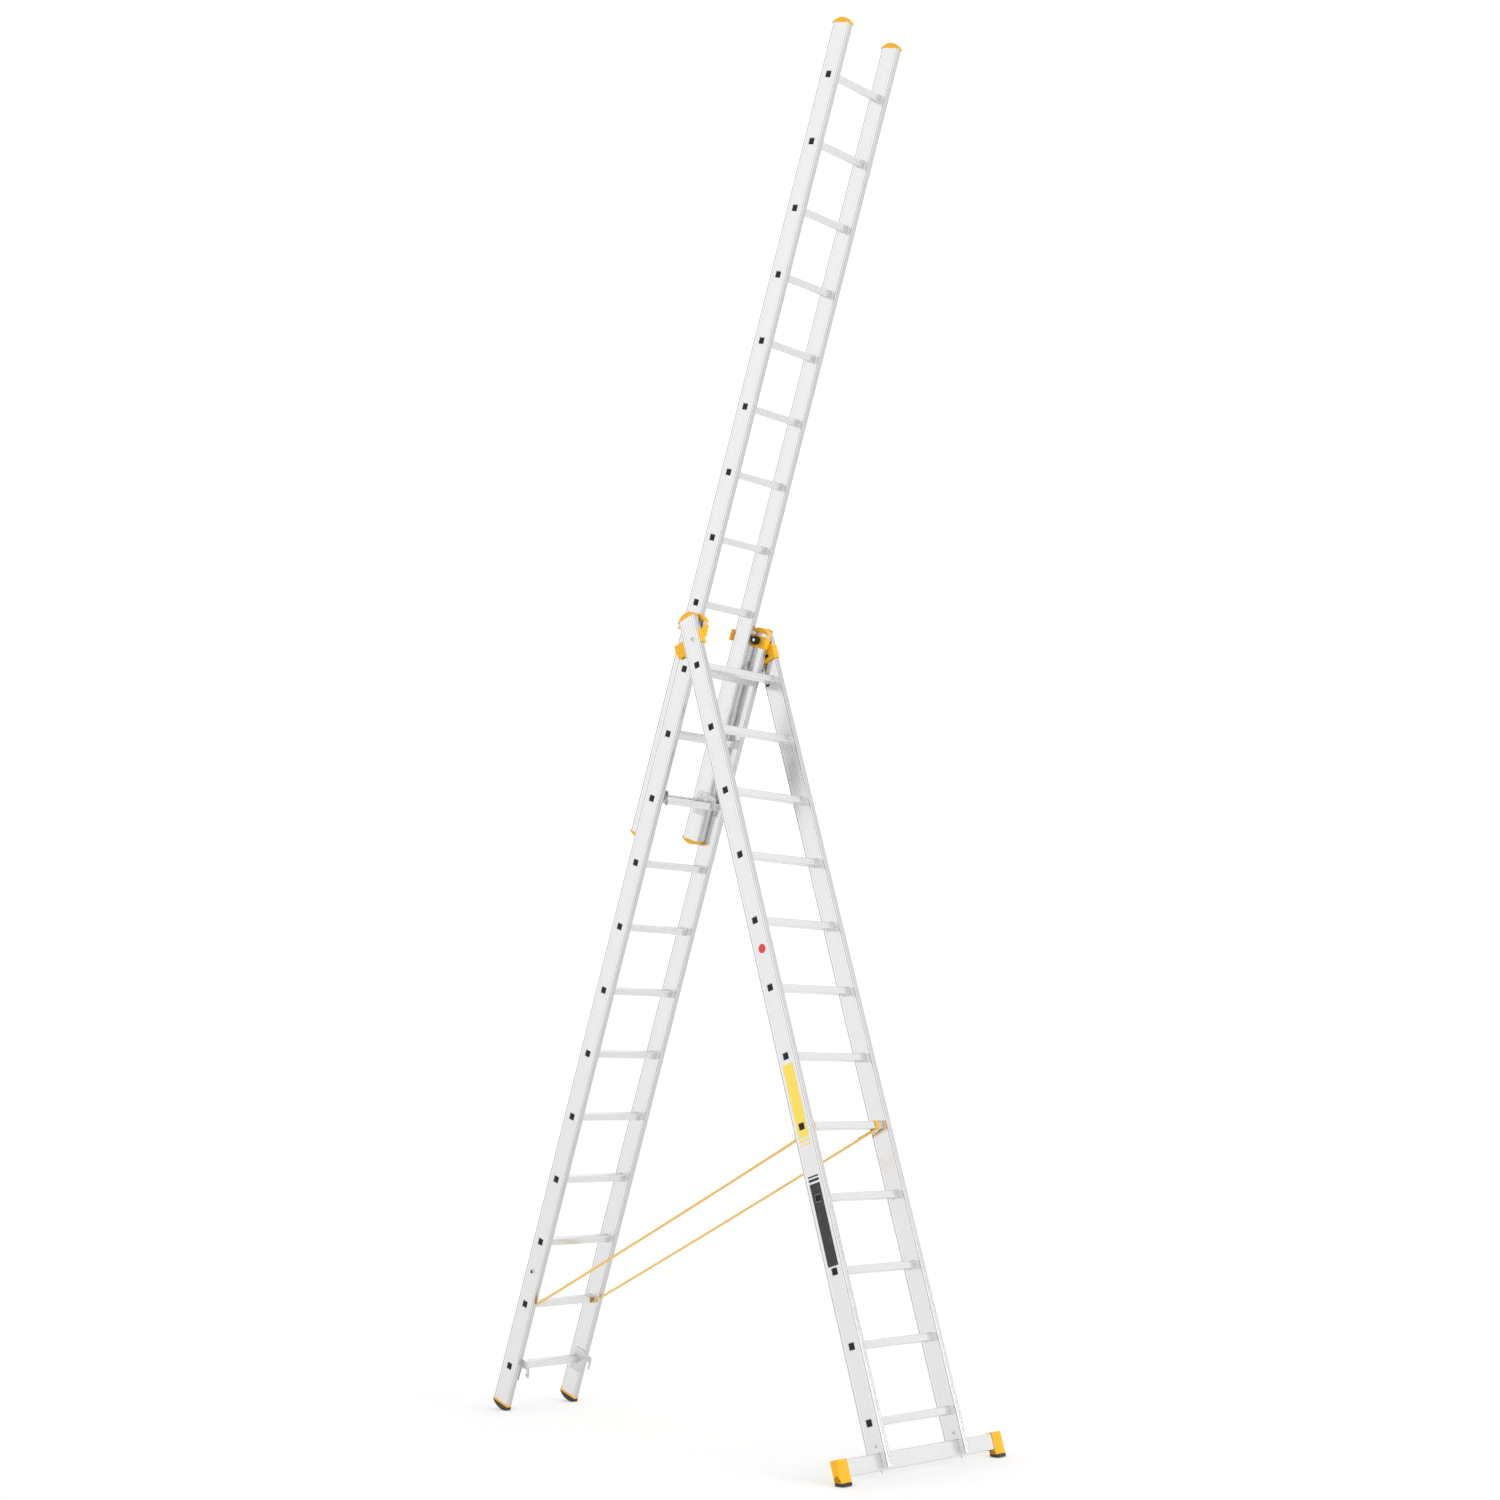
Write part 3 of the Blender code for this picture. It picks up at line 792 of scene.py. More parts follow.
def build_plugs(section):
    """Plugs in both ends of every rung."""
    right = plug_mesh()
    for side, sign, shape in (("left", LEFT, mirrored(right)), ("right", RIGHT, right)):
        for number in RUNG_NUMBERS:
            place = section.place @ Matrix.Translation(
                (sign * section.rung_end, 0, section.rung_height(number)))
            place_piece(f"plug_{section.name}_{side}_{number:02d}", shape,
                        moulded_black(), section.body, place)


# ---------------------------------------------------------------- end caps


def cap_outline(section, rise):
    """Side view of a domed cap whose two ends roll a little over the stile's narrow faces."""
    half, lip = section.depth / 2, sizes().cap_lip
    reach = half + 0.0030
    radius = (reach ** 2 + rise ** 2) / (2 * rise)
    swing = math.degrees(math.asin(reach / radius))
    dome = arc((0, rise - radius), radius, 90 - swing, 90 + swing, 22)
    inside = half + SKIN
    return [*dome, (-reach, -lip), (-inside, -lip), (-inside, SKIN), (inside, SKIN),
            (inside, -lip), (reach, -lip)]


def build_caps(section, end):
    """Caps on the tops of a section, or on its bottoms."""
    lip = 0.0011
    share, level, sign = (1.0, section.top, 1) if end == "top" else (0.85, section.bottom, -1)
    outline = [(y, level + sign * z) for y, z in cap_outline(section, sizes().cap_rise * share)]
    mesh = side_plate(f"{section.name}_{end}_cap", outline,
                      section.half_width - section.thick - lip, section.half_width + lip,
                      bevel=0.0012)
    place_pair(f"cap_{section.name}_{end}", mesh, moulded_yellow(), section)


# ---------------------------------------------------------------- fasteners


def bolt_mesh(name, radius, height, recess=0.45):
    """A low domed head with a recess in its middle, along +X."""
    return turned_mesh(name, [(-SUNK, radius), (height * 0.35, radius),
                              (height * 0.80, radius * 0.86), (height, radius * 0.62),
                              (height, radius * recess), (height * 0.25, radius * recess * 0.85)],
                       20)


def rivet_mesh(name, radius, height):
    """A plain domed rivet head, along +X."""
    steps = 5
    dome = [math.pi / 2 * step / steps for step in range(steps)]
    return turned_mesh(name, [(-SUNK, radius)] + [(height * math.sin(a), radius * math.cos(a))
                                                  for a in dome], 20)


def fasten(name, mesh, section, spot, facing, finish, body=None):
    """Puts a fastener at a spot in a section's space, facing along +X or -X."""
    turn = Matrix.Identity(4) if facing > 0 else Matrix.Rotation(math.pi, 4, "Z")
    place_piece(name, mesh, finish, body or section.body,
                section.place @ Matrix.Translation(spot) @ turn)


# ---------------------------------------------------------------- brackets and locking knob


def build_brackets():
    """Yellow hinge and guide brackets, with the fasteners and inserts on and near them."""
    for section in (FRONT, REAR):
        for side in SIDES:
            node = f"{section.name}_bracket_{side}"
            place_piece(f"bracket_{section.name}_{side}",
                        softened(node, section, sizes().edge_softness), moulded_yellow(),
                        section.body, section.place, (node,))
    steel, black = (zinc_steel(), "steel"), (moulded_black(), "black_plastic")
    inner = FRONT.half_width - FRONT.thick
    guide = inner - SKIN - FRONT_PLATE
    rear_plate = REAR.half_width - REAR.thick - SKIN - REAR_PLATE
    last = FRONT.last_rung
    rivet = rivet_mesh("bracket_rivet", 0.004, 0.002)
    fasteners = [
        ("bracket_bolt_front_{}", bolt_mesh("bracket_bolt", 0.0095, 0.0050, 0.40), FRONT,
         FRONT.half_width, BRACKET_BOLT, last, 1, steel),
        ("bracket_insert_{}", insert_mesh(), FRONT, guide, GUIDE_INSERT, last, -1, black),
        ("bracket_dimple_{}", bolt_mesh("bracket_dimple", 0.0045, 0.0012), FRONT,
         inner - SKIN, GUIDE_DIMPLE, last, 1, (moulded_yellow(), "yellow_plastic")),
        *[(f"bracket_rivet_rear_{{}}_{number}", rivet, REAR, rear_plate, spot,
           REAR.last_rung, -1, steel) for number, spot in enumerate(BRACKET_RIVETS, 1)],
        ("side_screw_{}", bolt_mesh("side_screw", 0.0105, 0.0055, 0.84), REAR,
         REAR.half_width, SIDE_SCREW, 0.0, 1, steel),
        ("side_screw_plug_{}", rivet_mesh("side_screw_plug", 0.0090, 0.0052), REAR,
         REAR.half_width, SIDE_SCREW, 0.0, 1, black),
        ("rung_buffer_{}", buffer_mesh(), FRONT, inner, RUNG_BUFFER, last, -1, black),
    ]
    for side, sign in SIDES.items():
        for name, mesh, section, x, (y, z), base, facing, (finish, slot) in fasteners:
            fasten(name.format(side), mesh, section, (sign * x, y, base + z), sign * facing,
                   finish)


def buffer_mesh():
    """Small black buffer beside the top front rung."""
    outline = rounded_outline([(-0.010, -0.0035), (0.010, -0.0035), (0.010, 0.0035),
                               (-0.010, 0.0035)], 0.0015, 3)
    return side_plate("rung_buffer", outline, -0.0002, 0.0045, bevel=0.0008)


def insert_mesh():
    """Black sliding insert that keeps the upper section's stile in its guide."""
    outline = rounded_outline([(-0.016, -0.010), (0.016, -0.010), (0.016, 0.002), (0.006, 0.002),
                               (0.006, 0.012), (-0.010, 0.012), (-0.010, 0.004),
                               (-0.016, 0.004)], 0.0015, 3)
    return side_plate("guide_insert", outline, -0.0002, 0.0030, bevel=0.0006)


def build_knob():
    """Locking knob: a fluted grip on a collar, with a pale button in its middle."""
    low, high = REAR.local_box("lock_knob")
    middle_y, middle_z = (low.y + high.y) / 2, (low.z + high.z) / 2
    radius = (high.z - low.z) / 2
    grip, collar, collar_radius, pin_radius = low.x + 0.020, 0.0035, 0.0120, 0.0050
    profile = [(low.x, radius * 0.36), (low.x + 0.0012, radius * 0.40),
               (low.x + 0.0006, radius * 0.62), (low.x + 0.0006, radius * 0.84),
               (low.x + 0.0030, radius * 0.98, True), (low.x + 0.0045, radius, True),
               (grip - 0.0030, radius, True), (grip, radius * 0.90),
               (grip, collar_radius), (grip + collar, collar_radius),
               (grip + collar, pin_radius), (high.x, pin_radius)]
    mesh = turned_mesh("locking_knob", profile, 96, flutes=12, flute_depth=0.0016)
    place = REAR.place @ Matrix.Translation((0, middle_y, middle_z))
    place_piece("lock_knob_grip", mesh, moulded_black(), "lock_knob", place,
                ("lock_knob",))
    button = turned_mesh("knob_button", [(low.x + 0.0010, radius * 0.36),
                                         (low.x - 0.0008, radius * 0.34),
                                         (low.x - 0.0014, radius * 0.24)], 24)
    place_piece("lock_knob_button", button, pale_plastic(), "lock_knob", place)


# ---------------------------------------------------------------- hooks and catches


def build_hooks():
    """Steel hook plates, with rivets through each plate and a hanging catch on the left."""
    softness = 0.0006
    for section in (REAR, UPPER):
        face = section.half_width - section.thick - SKIN - HOOK_PLATE
        head = rivet_mesh("hook_rivet", 0.0048, 0.0022)
        for side, sign in SIDES.items():
            node = f"{section.name}_hook_{side}"
            place_piece(f"hook_{section.name}_{side}", softened(node, section, softness),
                        zinc_steel(), section.body, section.place, (node,))
            for number, (y, z) in enumerate(HOOK_RIVETS[section.name], 1):
                fasten(f"hook_rivet_{section.name}_{side}_{number}", head, section,
                       (sign * face, y, z), -sign, zinc_steel())
        node = section.name + "_latch"
        place_piece("catch_" + section.name, softened(node, section, softness), zinc_steel(),
                    node, section.place, (node,))
        high = section.local_box(node)[1]
        pivot = next(Vector(j["pos_m"]) for j in frame["joints"] if j["child"] == node)
        spot = section.place.inverted() @ pivot
        fasten(f"catch_pivot_{section.name}", rivet_mesh("catch_rivet", 0.0042, 0.0022), section,
               (high.x, spot.y, spot.z), 1, zinc_steel(), node)


# ---------------------------------------------------------------- stabiliser and feet


def floor_line(section, y, height):
    """Local Z at which a section's plane Y is at a height above the floor."""
    lift = section.place.translation.z
    tilt_y, tilt_z = section.place[2][1], section.place[2][2]
    return (height - lift - y * tilt_y) / tilt_z


def sleeve_mesh(low, high, sole_top):
    """Yellow end sleeve of the stabiliser, with ribbed pockets low on both its end faces, and thin
    plates inside the pockets for their painted shade.
    """
    front, rear, top = low.y, high.y, high.z
    corners = [(front, floor_line(FRONT, front, sole_top)), (rear, floor_line(FRONT, rear, sole_top)),
               (rear, top), (front, top)]
    outline = rounded_outline(corners, 0.004, 4)
    mesh = side_plate("stabiliser_sleeve", outline, low.x, high.x, bevel=sizes().edge_softness)
    half, deep, lining, outside = 0.0030, 0.0062, (0.0045, 0.0060), -0.01
    pockets, shade_plates = [], []
    for offset, short, tall in ((-0.0108, 0.008, 0.014), (-0.0036, 0.0115, 0.022),
                                (0.0036, 0.0115, 0.022), (0.0108, 0.008, 0.014)):
        y = (front + rear) / 2 + offset
        base = floor_line(FRONT, y, sole_top) + 0.0020
        for face, into, rise in ((high.x, -1, tall), (low.x, 1, short)):
            # Each pocket is cut, and a thin plate near its bottom is made for the pocket's painted
            # shade.
            for boxes, reach in ((pockets, (outside, deep)), (shade_plates, lining)):
                x_low, x_high = sorted(face + into * x for x in reach)
                boxes.append(((x_low, y - half, base), (x_high, y + half, base + rise)))
    return cut(mesh, box_mesh("sleeve_pockets", *pockets)), box_mesh("sleeve_floors", *shade_plates)


def sole_mesh(low_x, high_x, half_y, height):
    """Rubber sole with rounded corners and tread grooves across its underside."""
    soft, corner = 0.003, 0.014
    middle, half_x = (low_x + high_x) / 2, (high_x - low_x) / 2
    levels = []
    for inset, z in ((0.0050, 0.0), (0.0022, 0.0014), (0.0004, 0.0042), (0.0, 0.0070),
                     (0.0, height - soft), (0.0022, height)):
        outline = extrusion_outline(2 * (half_x - inset), 2 * (half_y - inset), corner - inset,
                                    steps=6)
        levels.append(([(middle + x, y) for x, y in outline], z))
    groove = 0.0012
    treads = [((low_x - 0.01, y - groove, -0.01), (high_x + 0.01, y + groove, sizes().tread_depth))
              for y in (-0.0120, -0.0040, 0.0040, 0.0120)]
    return cut(ring_mesh("stabiliser_sole", level_rings(*levels)), box_mesh("sole_treads", *treads))


def build_stabiliser():
    """Bar across the front stiles, its yellow sleeves, rubber soles and fasteners."""
    low, high = FRONT.local_box("stabiliser_bar")
    width, depth = high.z - low.z, high.y - low.y
    outline = extrusion_outline(width, depth, 0.004, steps=5)
    mesh = tube_mesh("stabiliser_bar", outline, width, depth, BAR_WALL, low.x, high.x)
    mesh.transform(Matrix.Rotation(math.pi / 2, 4, "Y"))
    place_piece("stabiliser_tube", mesh, extruded_aluminium("bar"), FRONT.body,
                FRONT.place @ Matrix.Translation((0, *((low + high) / 2).yz)),
                ("stabiliser_bar",))

    sole_low, sole_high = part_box("stabiliser_foot_right")
    foot_top = FRONT.local_box("stabiliser_foot_right")[1].z
    sleeve_low = Vector((sole_low.x + SOLE_MARGIN, low.y - SLEEVE_WALL, 0))
    sleeve_high = Vector((sole_high.x - SOLE_MARGIN, high.y + SLEEVE_WALL, foot_top))
    sleeve, shade_plates = sleeve_mesh(sleeve_low, sleeve_high, SOLE_HEIGHT)
    reach = high.x + SKIN
    sleeve = cut(sleeve, box_mesh("sleeve_bore", (
        (-reach, low.y - SKIN, low.z - SKIN), (reach, high.y + SKIN, high.z + SKIN))))
    sole = sole_mesh(sole_low.x, sole_high.x, SOLE_HALF_DEPTH, SOLE_HEIGHT)
    sole_y = (low.y + high.y) / 2 + 0.002
    touch = FRONT.place @ Vector((0, sole_y, floor_line(FRONT, sole_y, 0.0)))
    for side, (cover, pad, dark) in {
            "right": (sleeve, sole, shade_plates),
            "left": (mirrored(sleeve), mirrored(sole), mirrored(shade_plates))}.items():
        place_piece(f"stabiliser_sleeve_{side}", cover, moulded_yellow(), FRONT.body,
                    FRONT.place, (f"stabiliser_foot_{side}",))
        # Dark orange plates in the pockets: painted shade.
        place_piece(f"sleeve_recess_{side}", dark, shaded_orange(), FRONT.body,
                    FRONT.place)
        place_piece(f"stabiliser_sole_{side}", pad, tread_rubber(), FRONT.body,
                    Matrix.Translation((0, touch.y, 0)))
    build_bar_fasteners(low)


def build_bar_fasteners(bar_low):
    """Cross pins through the stiles above the bar, and bolts that hang down through it."""
    pin = bolt_mesh("cross_pin", 0.0068, 0.0032)
    stud = turned_mesh("hanging_bolt", [(-0.001, 0.0075), (0.0045, 0.0075), (0.0055, 0.0068),
                                        (0.0055, 0.0034), (0.0120, 0.0034), (0.0128, 0.0027)], 24)
    down = Matrix.Rotation(math.pi / 2, 4, "Y")
    for side, sign in SIDES.items():
        for name, x, facing in (("outer", FRONT.half_width, 1),
                                ("inner", FRONT.half_width - FRONT.thick, -1)):
            fasten(f"cross_pin_{name}_{side}", pin, FRONT, (sign * x, *CROSS_PIN), sign * facing,
                   zinc_steel())
        spot = Matrix.Translation((sign * 0.238, bar_low.y + 0.010, bar_low.z))
        place_piece(f"bar_bolt_{side}", stud, zinc_steel(), FRONT.body,
                    FRONT.place @ spot @ down)


def build_rear_feet():
    """Rubber rocker feet with tread grooves, each under a yellow collar round its stile."""
    rocker_start, rocker_radius = -0.038, 0.090
    first, pitch, half = -0.034, 0.011, 0.0012
    for side, sign in SIDES.items():
        node = f"rear_foot_{side}"
        low = REAR.local_box(node)[0]
        grooves = []
        for y in (first + pitch * k for k in range(7)):
            tread = (floor_line(REAR, y, 0.0) + 0.5 * (y - rocker_start) ** 2 / rocker_radius
                     + sizes().tread_depth)
            grooves.append(((-1, y - half, low.z - 0.02), (1, y + half, tread)))
        mesh = cut(softened(node, REAR, 0.0012, sharp=30), box_mesh("foot_treads", *grooves))
        mesh.transform(REAR.place)
        place_piece(f"rocker_foot_{side}", mesh, tread_rubber(), REAR.body, None,
                    (node,))
        place_piece(f"foot_collar_{side}", collar_mesh(sign), moulded_yellow(), REAR.body,
                    REAR.place)


def collar_mesh(sign):
    """Thin moulded ring round the lower end of a rear stile."""
    wall, low, high = 0.0014, REAR.bottom - 0.0010, REAR.bottom + 0.0065
    width, depth = REAR.thick + 2 * SKIN, REAR.depth + 2 * SKIN
    inner = extrusion_outline(width, depth, STILE_CORNER)
    outer = extrusion_outline(width + 2 * wall, depth + 2 * wall, STILE_CORNER + wall)
    mesh = ring_mesh("foot_collar", level_rings((outer, low), (outer, high - 0.001),
                                                (inner, high), (inner, low)), joined=True)
    mesh.transform(Matrix.Translation((sign * (REAR.half_width - REAR.thick / 2), 0, 0)))
    return mesh


# ---------------------------------------------------------------- straps


def loop_path(section, number, reach):
    """A rung's middle, and points of the band's middle line round it, in world Y and Z."""
    middle = section.place @ Vector((0, 0, section.rung_height(number)))
    outline = extrusion_outline(2 * reach, 2 * reach, 0.0045, steps=5)
    return middle, [middle + section.place.to_3x3() @ Vector((0, y, z)) for y, z in outline]


def ribbon_mesh(name, path, width, thickness):
    """A flat band along a path, with its width across the ladder."""
    rings = []
    for i, point in enumerate(path):
        ahead = path[min(i + 1, len(path) - 1)] - path[max(i - 1, 0)]
        normal = Vector((0, -ahead.z, ahead.y)).normalized() * thickness / 2
        across = Vector((width / 2, 0, 0))
        rings.append([point - across - normal, point + across - normal,
                      point + across + normal, point - across + normal])
    return ring_mesh(name, rings, sharp=50)


def nearest_rung(section, point):
    height = (section.place.inverted() @ point).z
    return round(height / section.pitch) + 1


def lowest_index(loop, middle, normal):
    return min(range(len(loop)), key=lambda i: (loop[i] - middle).dot(normal))


def wrapped(loop, start, away):
    """A loop's points from one of them, first in the direction given, back to the first."""
    count = len(loop)
    direction = 1 if (loop[(start + 1) % count] - loop[start]).dot(away) > 0 else -1
    return [loop[(start + direction * k) % count] for k in range(count)]


def build_straps():
    """Spreader straps: sewn round a front rung, and riveted behind a rear rung."""
    thickness, tail = sizes().strap_thickness, sizes().strap_tail
    reach = FRONT.rung_size / 2 + thickness / 2 + SKIN
    steps, tail_steps, sag, sewn_from = 40, 8, 0.004, 0.030
    for side in SIDES:
        points = node_points(f"strap_{side}")
        order = points[:, 1].argsort()
        front_end, rear_end = (Vector(points[group].mean(0)) for group in (order[:4], order[-4:]))
        front_middle, front_loop = loop_path(FRONT, nearest_rung(FRONT, front_end), reach)
        rear_middle, rear_loop = loop_path(REAR, nearest_rung(REAR, rear_end), reach)
        run = rear_middle - front_middle
        normal = Vector((0, -run.z, run.y)).normalized()
        front_ring = wrapped(front_loop, lowest_index(front_loop, front_middle, normal), -run)
        rear_ring = wrapped(rear_loop, lowest_index(rear_loop, rear_middle, normal), run)
        start, end = front_ring[0], rear_ring[0]
        along = (end - start).normalized()
        lay = normal * (thickness + SKIN)
        straight = [start.lerp(end, k / steps)
                    - Vector((0, 0, 4 * sag * k / steps * (1 - k / steps)))
                    for k in range(1, steps)]
        front_tail = [start + along * (sewn_from + tail * k / tail_steps) + lay
                      for k in range(tail_steps, -1, -1)]
        path = [*front_tail, *front_ring[::-1], *straight, *rear_ring[:len(rear_ring) // 2]]
        span = (end - start).length
        shift = rear_end.x - front_end.x
        path = [Vector((front_end.x + shift * max(0.0, min(1.0, (p - start).dot(along) / span)),
                        p.y, p.z)) for p in path]
        mesh = ribbon_mesh(f"spreader_strap_{side}", path, sizes().strap_width, thickness)
        blend_piece(f"spreader_strap_{side}", mesh, woven_webbing(),
                    (f"strap_{side}",))
        build_stitches(side, start, end, front_end.x, rear_end.x)
        place = REAR.place @ Matrix.Translation(
            (rear_end.x, REAR.rung_size / 2 + thickness + SKIN,
             REAR.rung_height(nearest_rung(REAR, rear_end))))
        place_piece(f"strap_rivet_{side}", rivet_mesh("strap_rivet", 0.005, 0.002), zinc_steel(),
                    REAR.body, place @ Matrix.Rotation(math.pi / 2, 4, "Z"))


def blend_piece(name, mesh, finish, replaces=()):
    """Puts webbing between the front and rear sections, in world space and on no body."""
    mesh.materials.append(finish)
    piece = bpy.data.objects.new(name, mesh)
    bpy.context.scene.collection.objects.link(piece)
    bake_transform(piece)
    if replaces:
        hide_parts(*replaces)


def build_stitches(side, start, end, front_x, rear_x):
    """Two pairs of sewn rows across the webbing where the front end's tail is joined."""
    rows, count, margin = (0.042, 0.052, 0.086, 0.096), 9, 0.003
    half_width = sizes().strap_width / 2 - margin
    span = (end - start).length
    along = (end - start) / span
    normal = Vector((0, -along.z, along.y))
    up = normal * (1.5 * sizes().strap_thickness + SKIN + 0.0001)
    work = bmesh.new()
    for row in rows:
        middle_x = front_x + (rear_x - front_x) * row / span
        for k in range(count):
            across = -half_width + 2 * half_width * k / (count - 1)
            spot = start + along * row + up
            add_stitch(work, Vector((middle_x + across, spot.y, spot.z)), along, normal)
    mesh = made_mesh(f"strap_stitches_{side}", work)
    blend_piece(f"strap_stitches_{side}", mesh, stitching())


def add_stitch(work, spot, along, normal):
    """One short domed stitch, slanted across the webbing."""
    turn = Matrix((Vector((1, 0, 0)), along, normal)).transposed().to_4x4()
    scale = Matrix.Diagonal((0.0011, 0.00045, 0.0004, 1.0))
    bmesh.ops.create_icosphere(work, subdivisions=2, radius=1.0,
                               matrix=Matrix.Translation(spot) @ turn @ scale)


# ---------------------------------------------------------------- labels


def label_mesh(name, bars):
    """Thin films with rounded corners, on the outer face of the left front stile."""
    face = -FRONT.half_width
    near, far = LABEL_FILM
    work = bmesh.new()
    for width, low, high in bars:
        corner = min(0.003, 0.3 * (high - low))
        outline = rounded_outline([(-width / 2, low), (width / 2, low), (width / 2, high),
                                   (-width / 2, high)], corner, 6)
        work.from_mesh(side_plate(name, outline, face - far, face - near))
    hole = sizes().plug_size / 2 + 0.0012
    return cut(made_mesh(name, work), rung_holes(FRONT, face - 0.01, face + 0.01, hole))


def build_labels():
    """Blank label strips and a round blank label, without any lettering."""
    for name, colour, slot in (("upper", "label_light", "yellow_plastic"),
                               ("lower", "label_dark", "black_plastic")):
        place_piece(f"label_strip_{name}", label_mesh(f"label_{name}", LABEL_BARS[name]),
                    vinyl_label(colour), FRONT.body, FRONT.place)
    disc = turned_mesh("label_disc", [(place, 0.0185) for place in LABEL_FILM], 48)
    fasten("label_disc", disc, FRONT, (-FRONT.half_width, *LABEL_DISC), LEFT,
           vinyl_label("label_disc"))


# ---------------------------------------------------------------- stage


def build_stage():
    """White floor, soft studio light and the camera."""
    scene = bpy.context.scene
    scene.view_settings.view_transform = "Standard"
    work = bmesh.new()
    bmesh.ops.create_grid(work, x_segments=8, y_segments=8, size=FLOOR_REACH)
    mesh = made_mesh("studio_floor", work)
    mesh.materials.append(studio_floor())
    floor = bpy.data.objects.new("studio_floor", mesh)
    floor.location.z = -0.0005
    scene.collection.objects.link(floor)

    scene.world = studio_world()
    add_sun("front_light", Vector((0.10, -0.97, 0.22)), 0.9, 20.0)

    data = bpy.data.cameras.new("camera")
    data.sensor_width = 36.0
    data.lens = CAMERA_LENS
    data.clip_end = 200.0
    camera = bpy.data.objects.new("camera", data)
    camera.matrix_world = (Matrix.Translation(CAMERA_PLACE)
                           @ Matrix.Rotation(-CAMERA_HEADING, 4, "Z")
                           @ Matrix.Rotation(math.pi / 2 + CAMERA_TILT, 4, "X")
                           @ Matrix.Rotation(CAMERA_ROLL, 4, "Z"))
    scene.collection.objects.link(camera)
    scene.camera = camera


def studio_world():
    """A white studio whose walls brighten upwards, under a dimmer ceiling."""
    world = bpy.data.worlds.new("studio")
    world.use_nodes = True
    tree = world.node_tree
    spot = tree.nodes.new("ShaderNodeTexCoord")
    split = tree.nodes.new("ShaderNodeSeparateXYZ")
    tree.links.new(spot.outputs["Generated"], split.inputs[0])
    levels = []
    for axis, *limits in (("Z", 0.46, 0.80, 1.0, 0.56), ("Z", 0.0, 0.35, 1.10, 1.16)):
        slope = tree.nodes.new("ShaderNodeMapRange")
        for socket, value in zip(slope.inputs[1:5], limits):
            socket.default_value = value
        tree.links.new(split.outputs[axis], slope.inputs[0])
        levels.append(slope.outputs[0])
    both = tree.nodes.new("ShaderNodeMath")
    both.operation = "MULTIPLY"
    for level, socket in zip(levels, both.inputs):
        tree.links.new(level, socket)
    tree.links.new(both.outputs[0], tree.nodes["Background"].inputs["Color"])
    return world


def add_sun(name, towards, strength, width):
    """A soft distant light that comes from a direction."""
    data = bpy.data.lights.new(name, "SUN")
    data.energy = strength
    data.angle = math.radians(width)
    light = bpy.data.objects.new(name, data)
    light.matrix_world = towards.to_track_quat("Z", "Y").to_matrix().to_4x4()
    bpy.context.scene.collection.objects.link(light)


# ---------------------------------------------------------------- operators and panel


class LadderOperator:
    """Runs a building function once for each of its argument sets."""

    bl_options = {"REGISTER", "UNDO"}
    runs = ((),)

    def execute(self, context):
        for arguments in self.runs:
            type(self).build(*arguments)
        return {"FINISHED"}


class LADDER_OT_stage(LadderOperator, bpy.types.Operator):
    """Make the floor, the studio light and the camera"""

    bl_idname = "ladder.stage"
    bl_label = "Stage"
    build = staticmethod(build_stage)


class LADDER_OT_stiles(LadderOperator, bpy.types.Operator):
    """Make the grooved stiles of all three sections"""

    bl_idname = "ladder.stiles"
    bl_label = "Stiles"
    build = staticmethod(build_stiles)
    runs = tuple((section,) for section in SECTIONS)


class LADDER_OT_rungs(LadderOperator, bpy.types.Operator):
    """Make the ribbed rungs of all three sections"""

    bl_idname = "ladder.rungs"
    bl_label = "Rungs"
    build = staticmethod(build_rungs)
    runs = tuple((section,) for section in SECTIONS)


class LADDER_OT_plugs(LadderOperator, bpy.types.Operator):
    """Make the square plugs in the rung ends"""

    bl_idname = "ladder.plugs"
    bl_label = "Rung plugs"
    build = staticmethod(build_plugs)
    runs = tuple((section,) for section in SECTIONS)


class LADDER_OT_caps(LadderOperator, bpy.types.Operator):
    """Make the domed end caps"""

    bl_idname = "ladder.caps"
    bl_label = "End caps"
    build = staticmethod(build_caps)
    runs = ((FRONT, "top"), (REAR, "top"), (UPPER, "top"), (UPPER, "bottom"))


class LADDER_OT_brackets(LadderOperator, bpy.types.Operator):
    """Make the hinge and guide brackets"""

    bl_idname = "ladder.brackets"
    bl_label = "Brackets"
    build = staticmethod(build_brackets)


class LADDER_OT_knob(LadderOperator, bpy.types.Operator):
    """Make the locking knob"""

    bl_idname = "ladder.knob"
    bl_label = "Locking knob"
    build = staticmethod(build_knob)


class LADDER_OT_hooks(LadderOperator, bpy.types.Operator):
    """Make the hook plates, their rivets and the hanging catches"""

    bl_idname = "ladder.hooks"
    bl_label = "Hooks and catches"
    build = staticmethod(build_hooks)


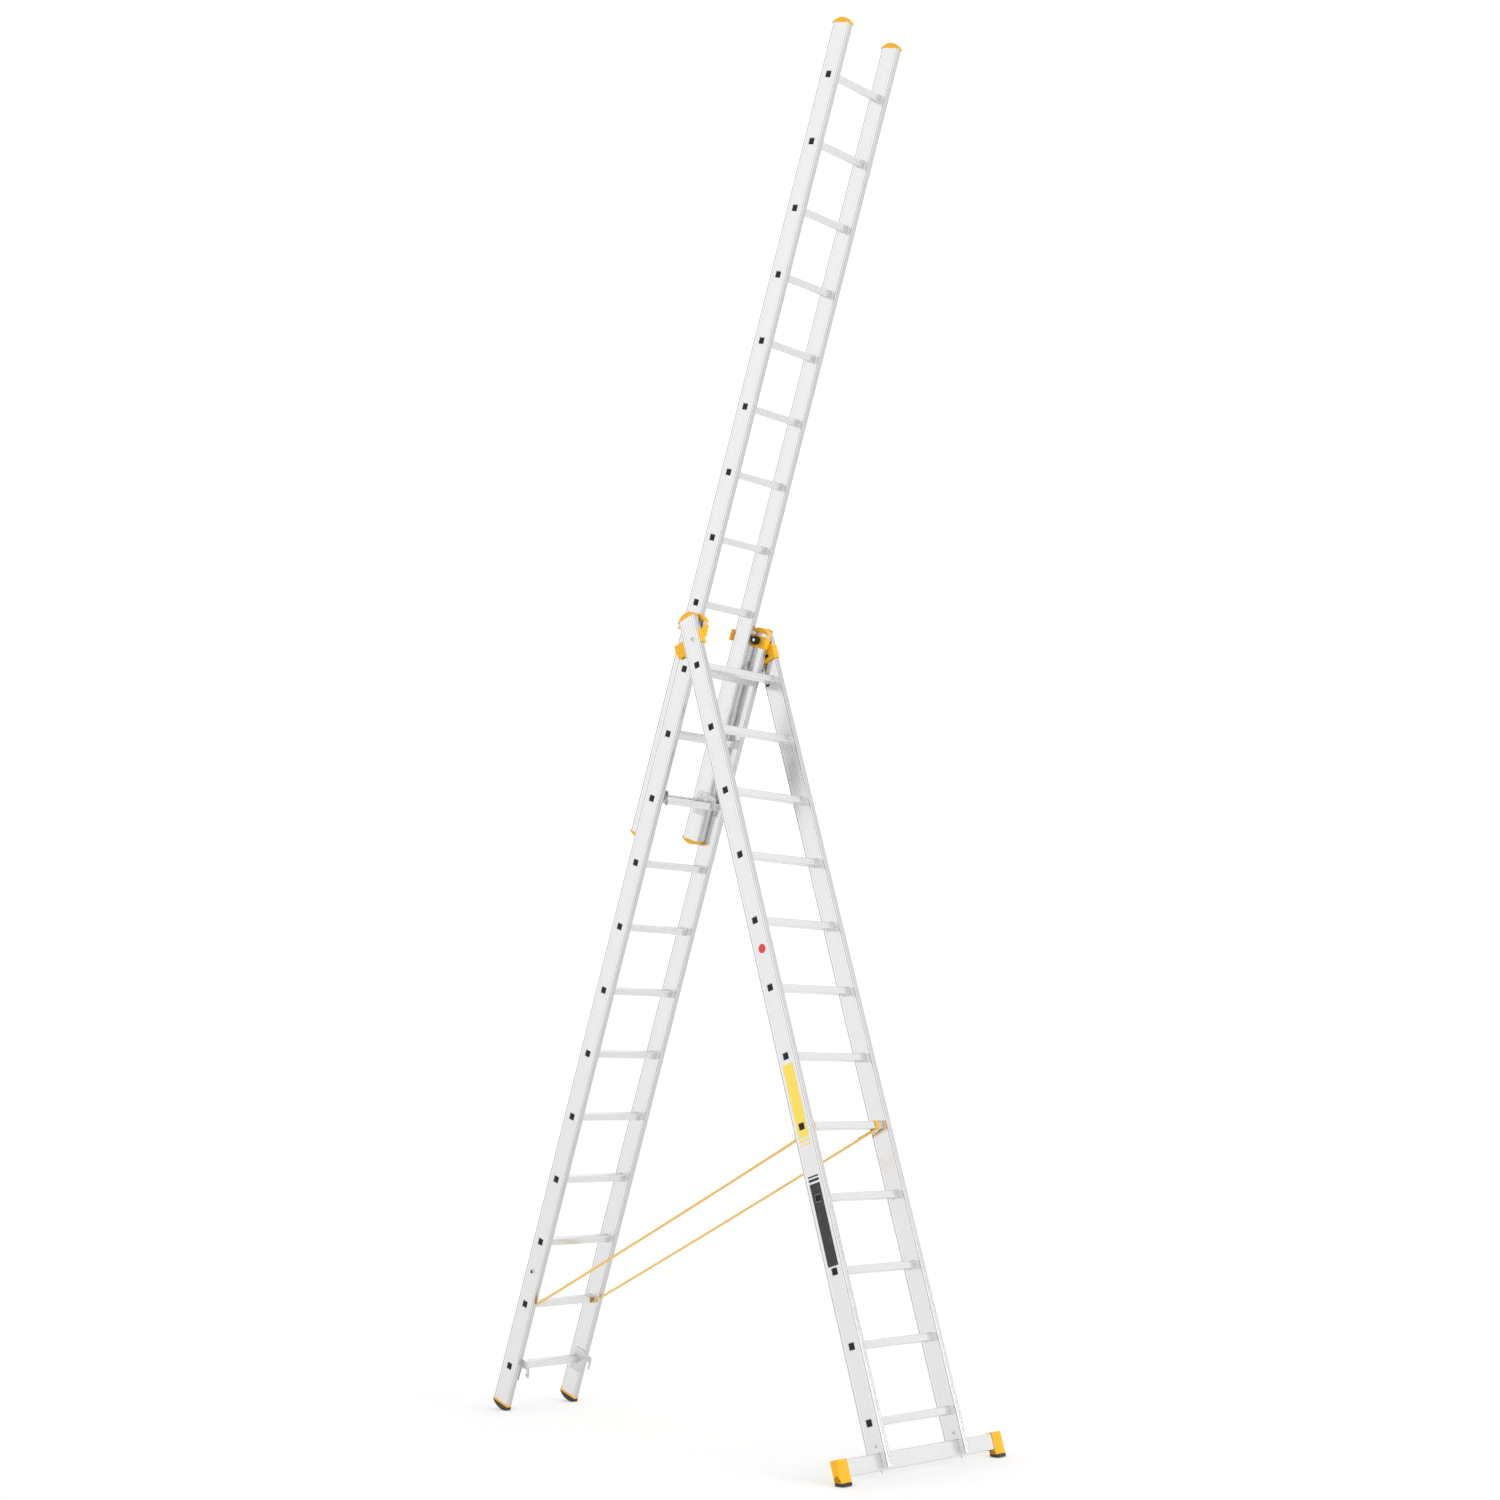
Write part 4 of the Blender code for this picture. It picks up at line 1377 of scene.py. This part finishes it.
class LADDER_OT_stabiliser(LadderOperator, bpy.types.Operator):
    """Make the stabiliser bar, its sleeves and soles"""

    bl_idname = "ladder.stabiliser"
    bl_label = "Stabiliser"
    build = staticmethod(build_stabiliser)


class LADDER_OT_rear_feet(LadderOperator, bpy.types.Operator):
    """Make the rear section's rocker feet and collars"""

    bl_idname = "ladder.rear_feet"
    bl_label = "Rear feet"
    build = staticmethod(build_rear_feet)


class LADDER_OT_straps(LadderOperator, bpy.types.Operator):
    """Make the webbing straps between front and rear"""

    bl_idname = "ladder.straps"
    bl_label = "Spreader straps"
    build = staticmethod(build_straps)


class LADDER_OT_labels(LadderOperator, bpy.types.Operator):
    """Make the blank labels on the left front stile"""

    bl_idname = "ladder.labels"
    bl_label = "Labels"
    build = staticmethod(build_labels)


OPERATORS = (LADDER_OT_stage, LADDER_OT_stiles, LADDER_OT_rungs, LADDER_OT_plugs,
             LADDER_OT_caps, LADDER_OT_brackets, LADDER_OT_knob, LADDER_OT_hooks,
             LADDER_OT_stabiliser, LADDER_OT_rear_feet, LADDER_OT_straps, LADDER_OT_labels)


class LADDER_PT_panel(bpy.types.Panel):
    """Lists the ladder's operators, sizes and colours"""

    bl_idname = "LADDER_PT_panel"
    bl_label = "Combination ladder"
    bl_space_type = "VIEW_3D"
    bl_region_type = "UI"
    bl_category = "Ladder"

    def draw(self, context):
        column = self.layout.column(align=True)
        for operator in OPERATORS:
            column.operator(operator.bl_idname)
        for group in (context.scene.ladder_sizes, context.scene.ladder_colours):
            box = self.layout.box()
            for name in group.__annotations__:
                box.prop(group, name)


CLASSES = (LadderSizes, LadderColours, *OPERATORS, LADDER_PT_panel)


def register():
    for item in CLASSES:
        bpy.utils.register_class(item)
    bpy.types.Scene.ladder_sizes = bpy.props.PointerProperty(type=LadderSizes)
    bpy.types.Scene.ladder_colours = bpy.props.PointerProperty(type=LadderColours)


def unregister():
    del bpy.types.Scene.ladder_sizes
    del bpy.types.Scene.ladder_colours
    for item in reversed(CLASSES):
        bpy.utils.unregister_class(item)


def main():
    register()
    for operator in OPERATORS:
        group, name = operator.bl_idname.split(".")
        getattr(getattr(bpy.ops, group), name)()


if __name__ == "__main__":
    main()
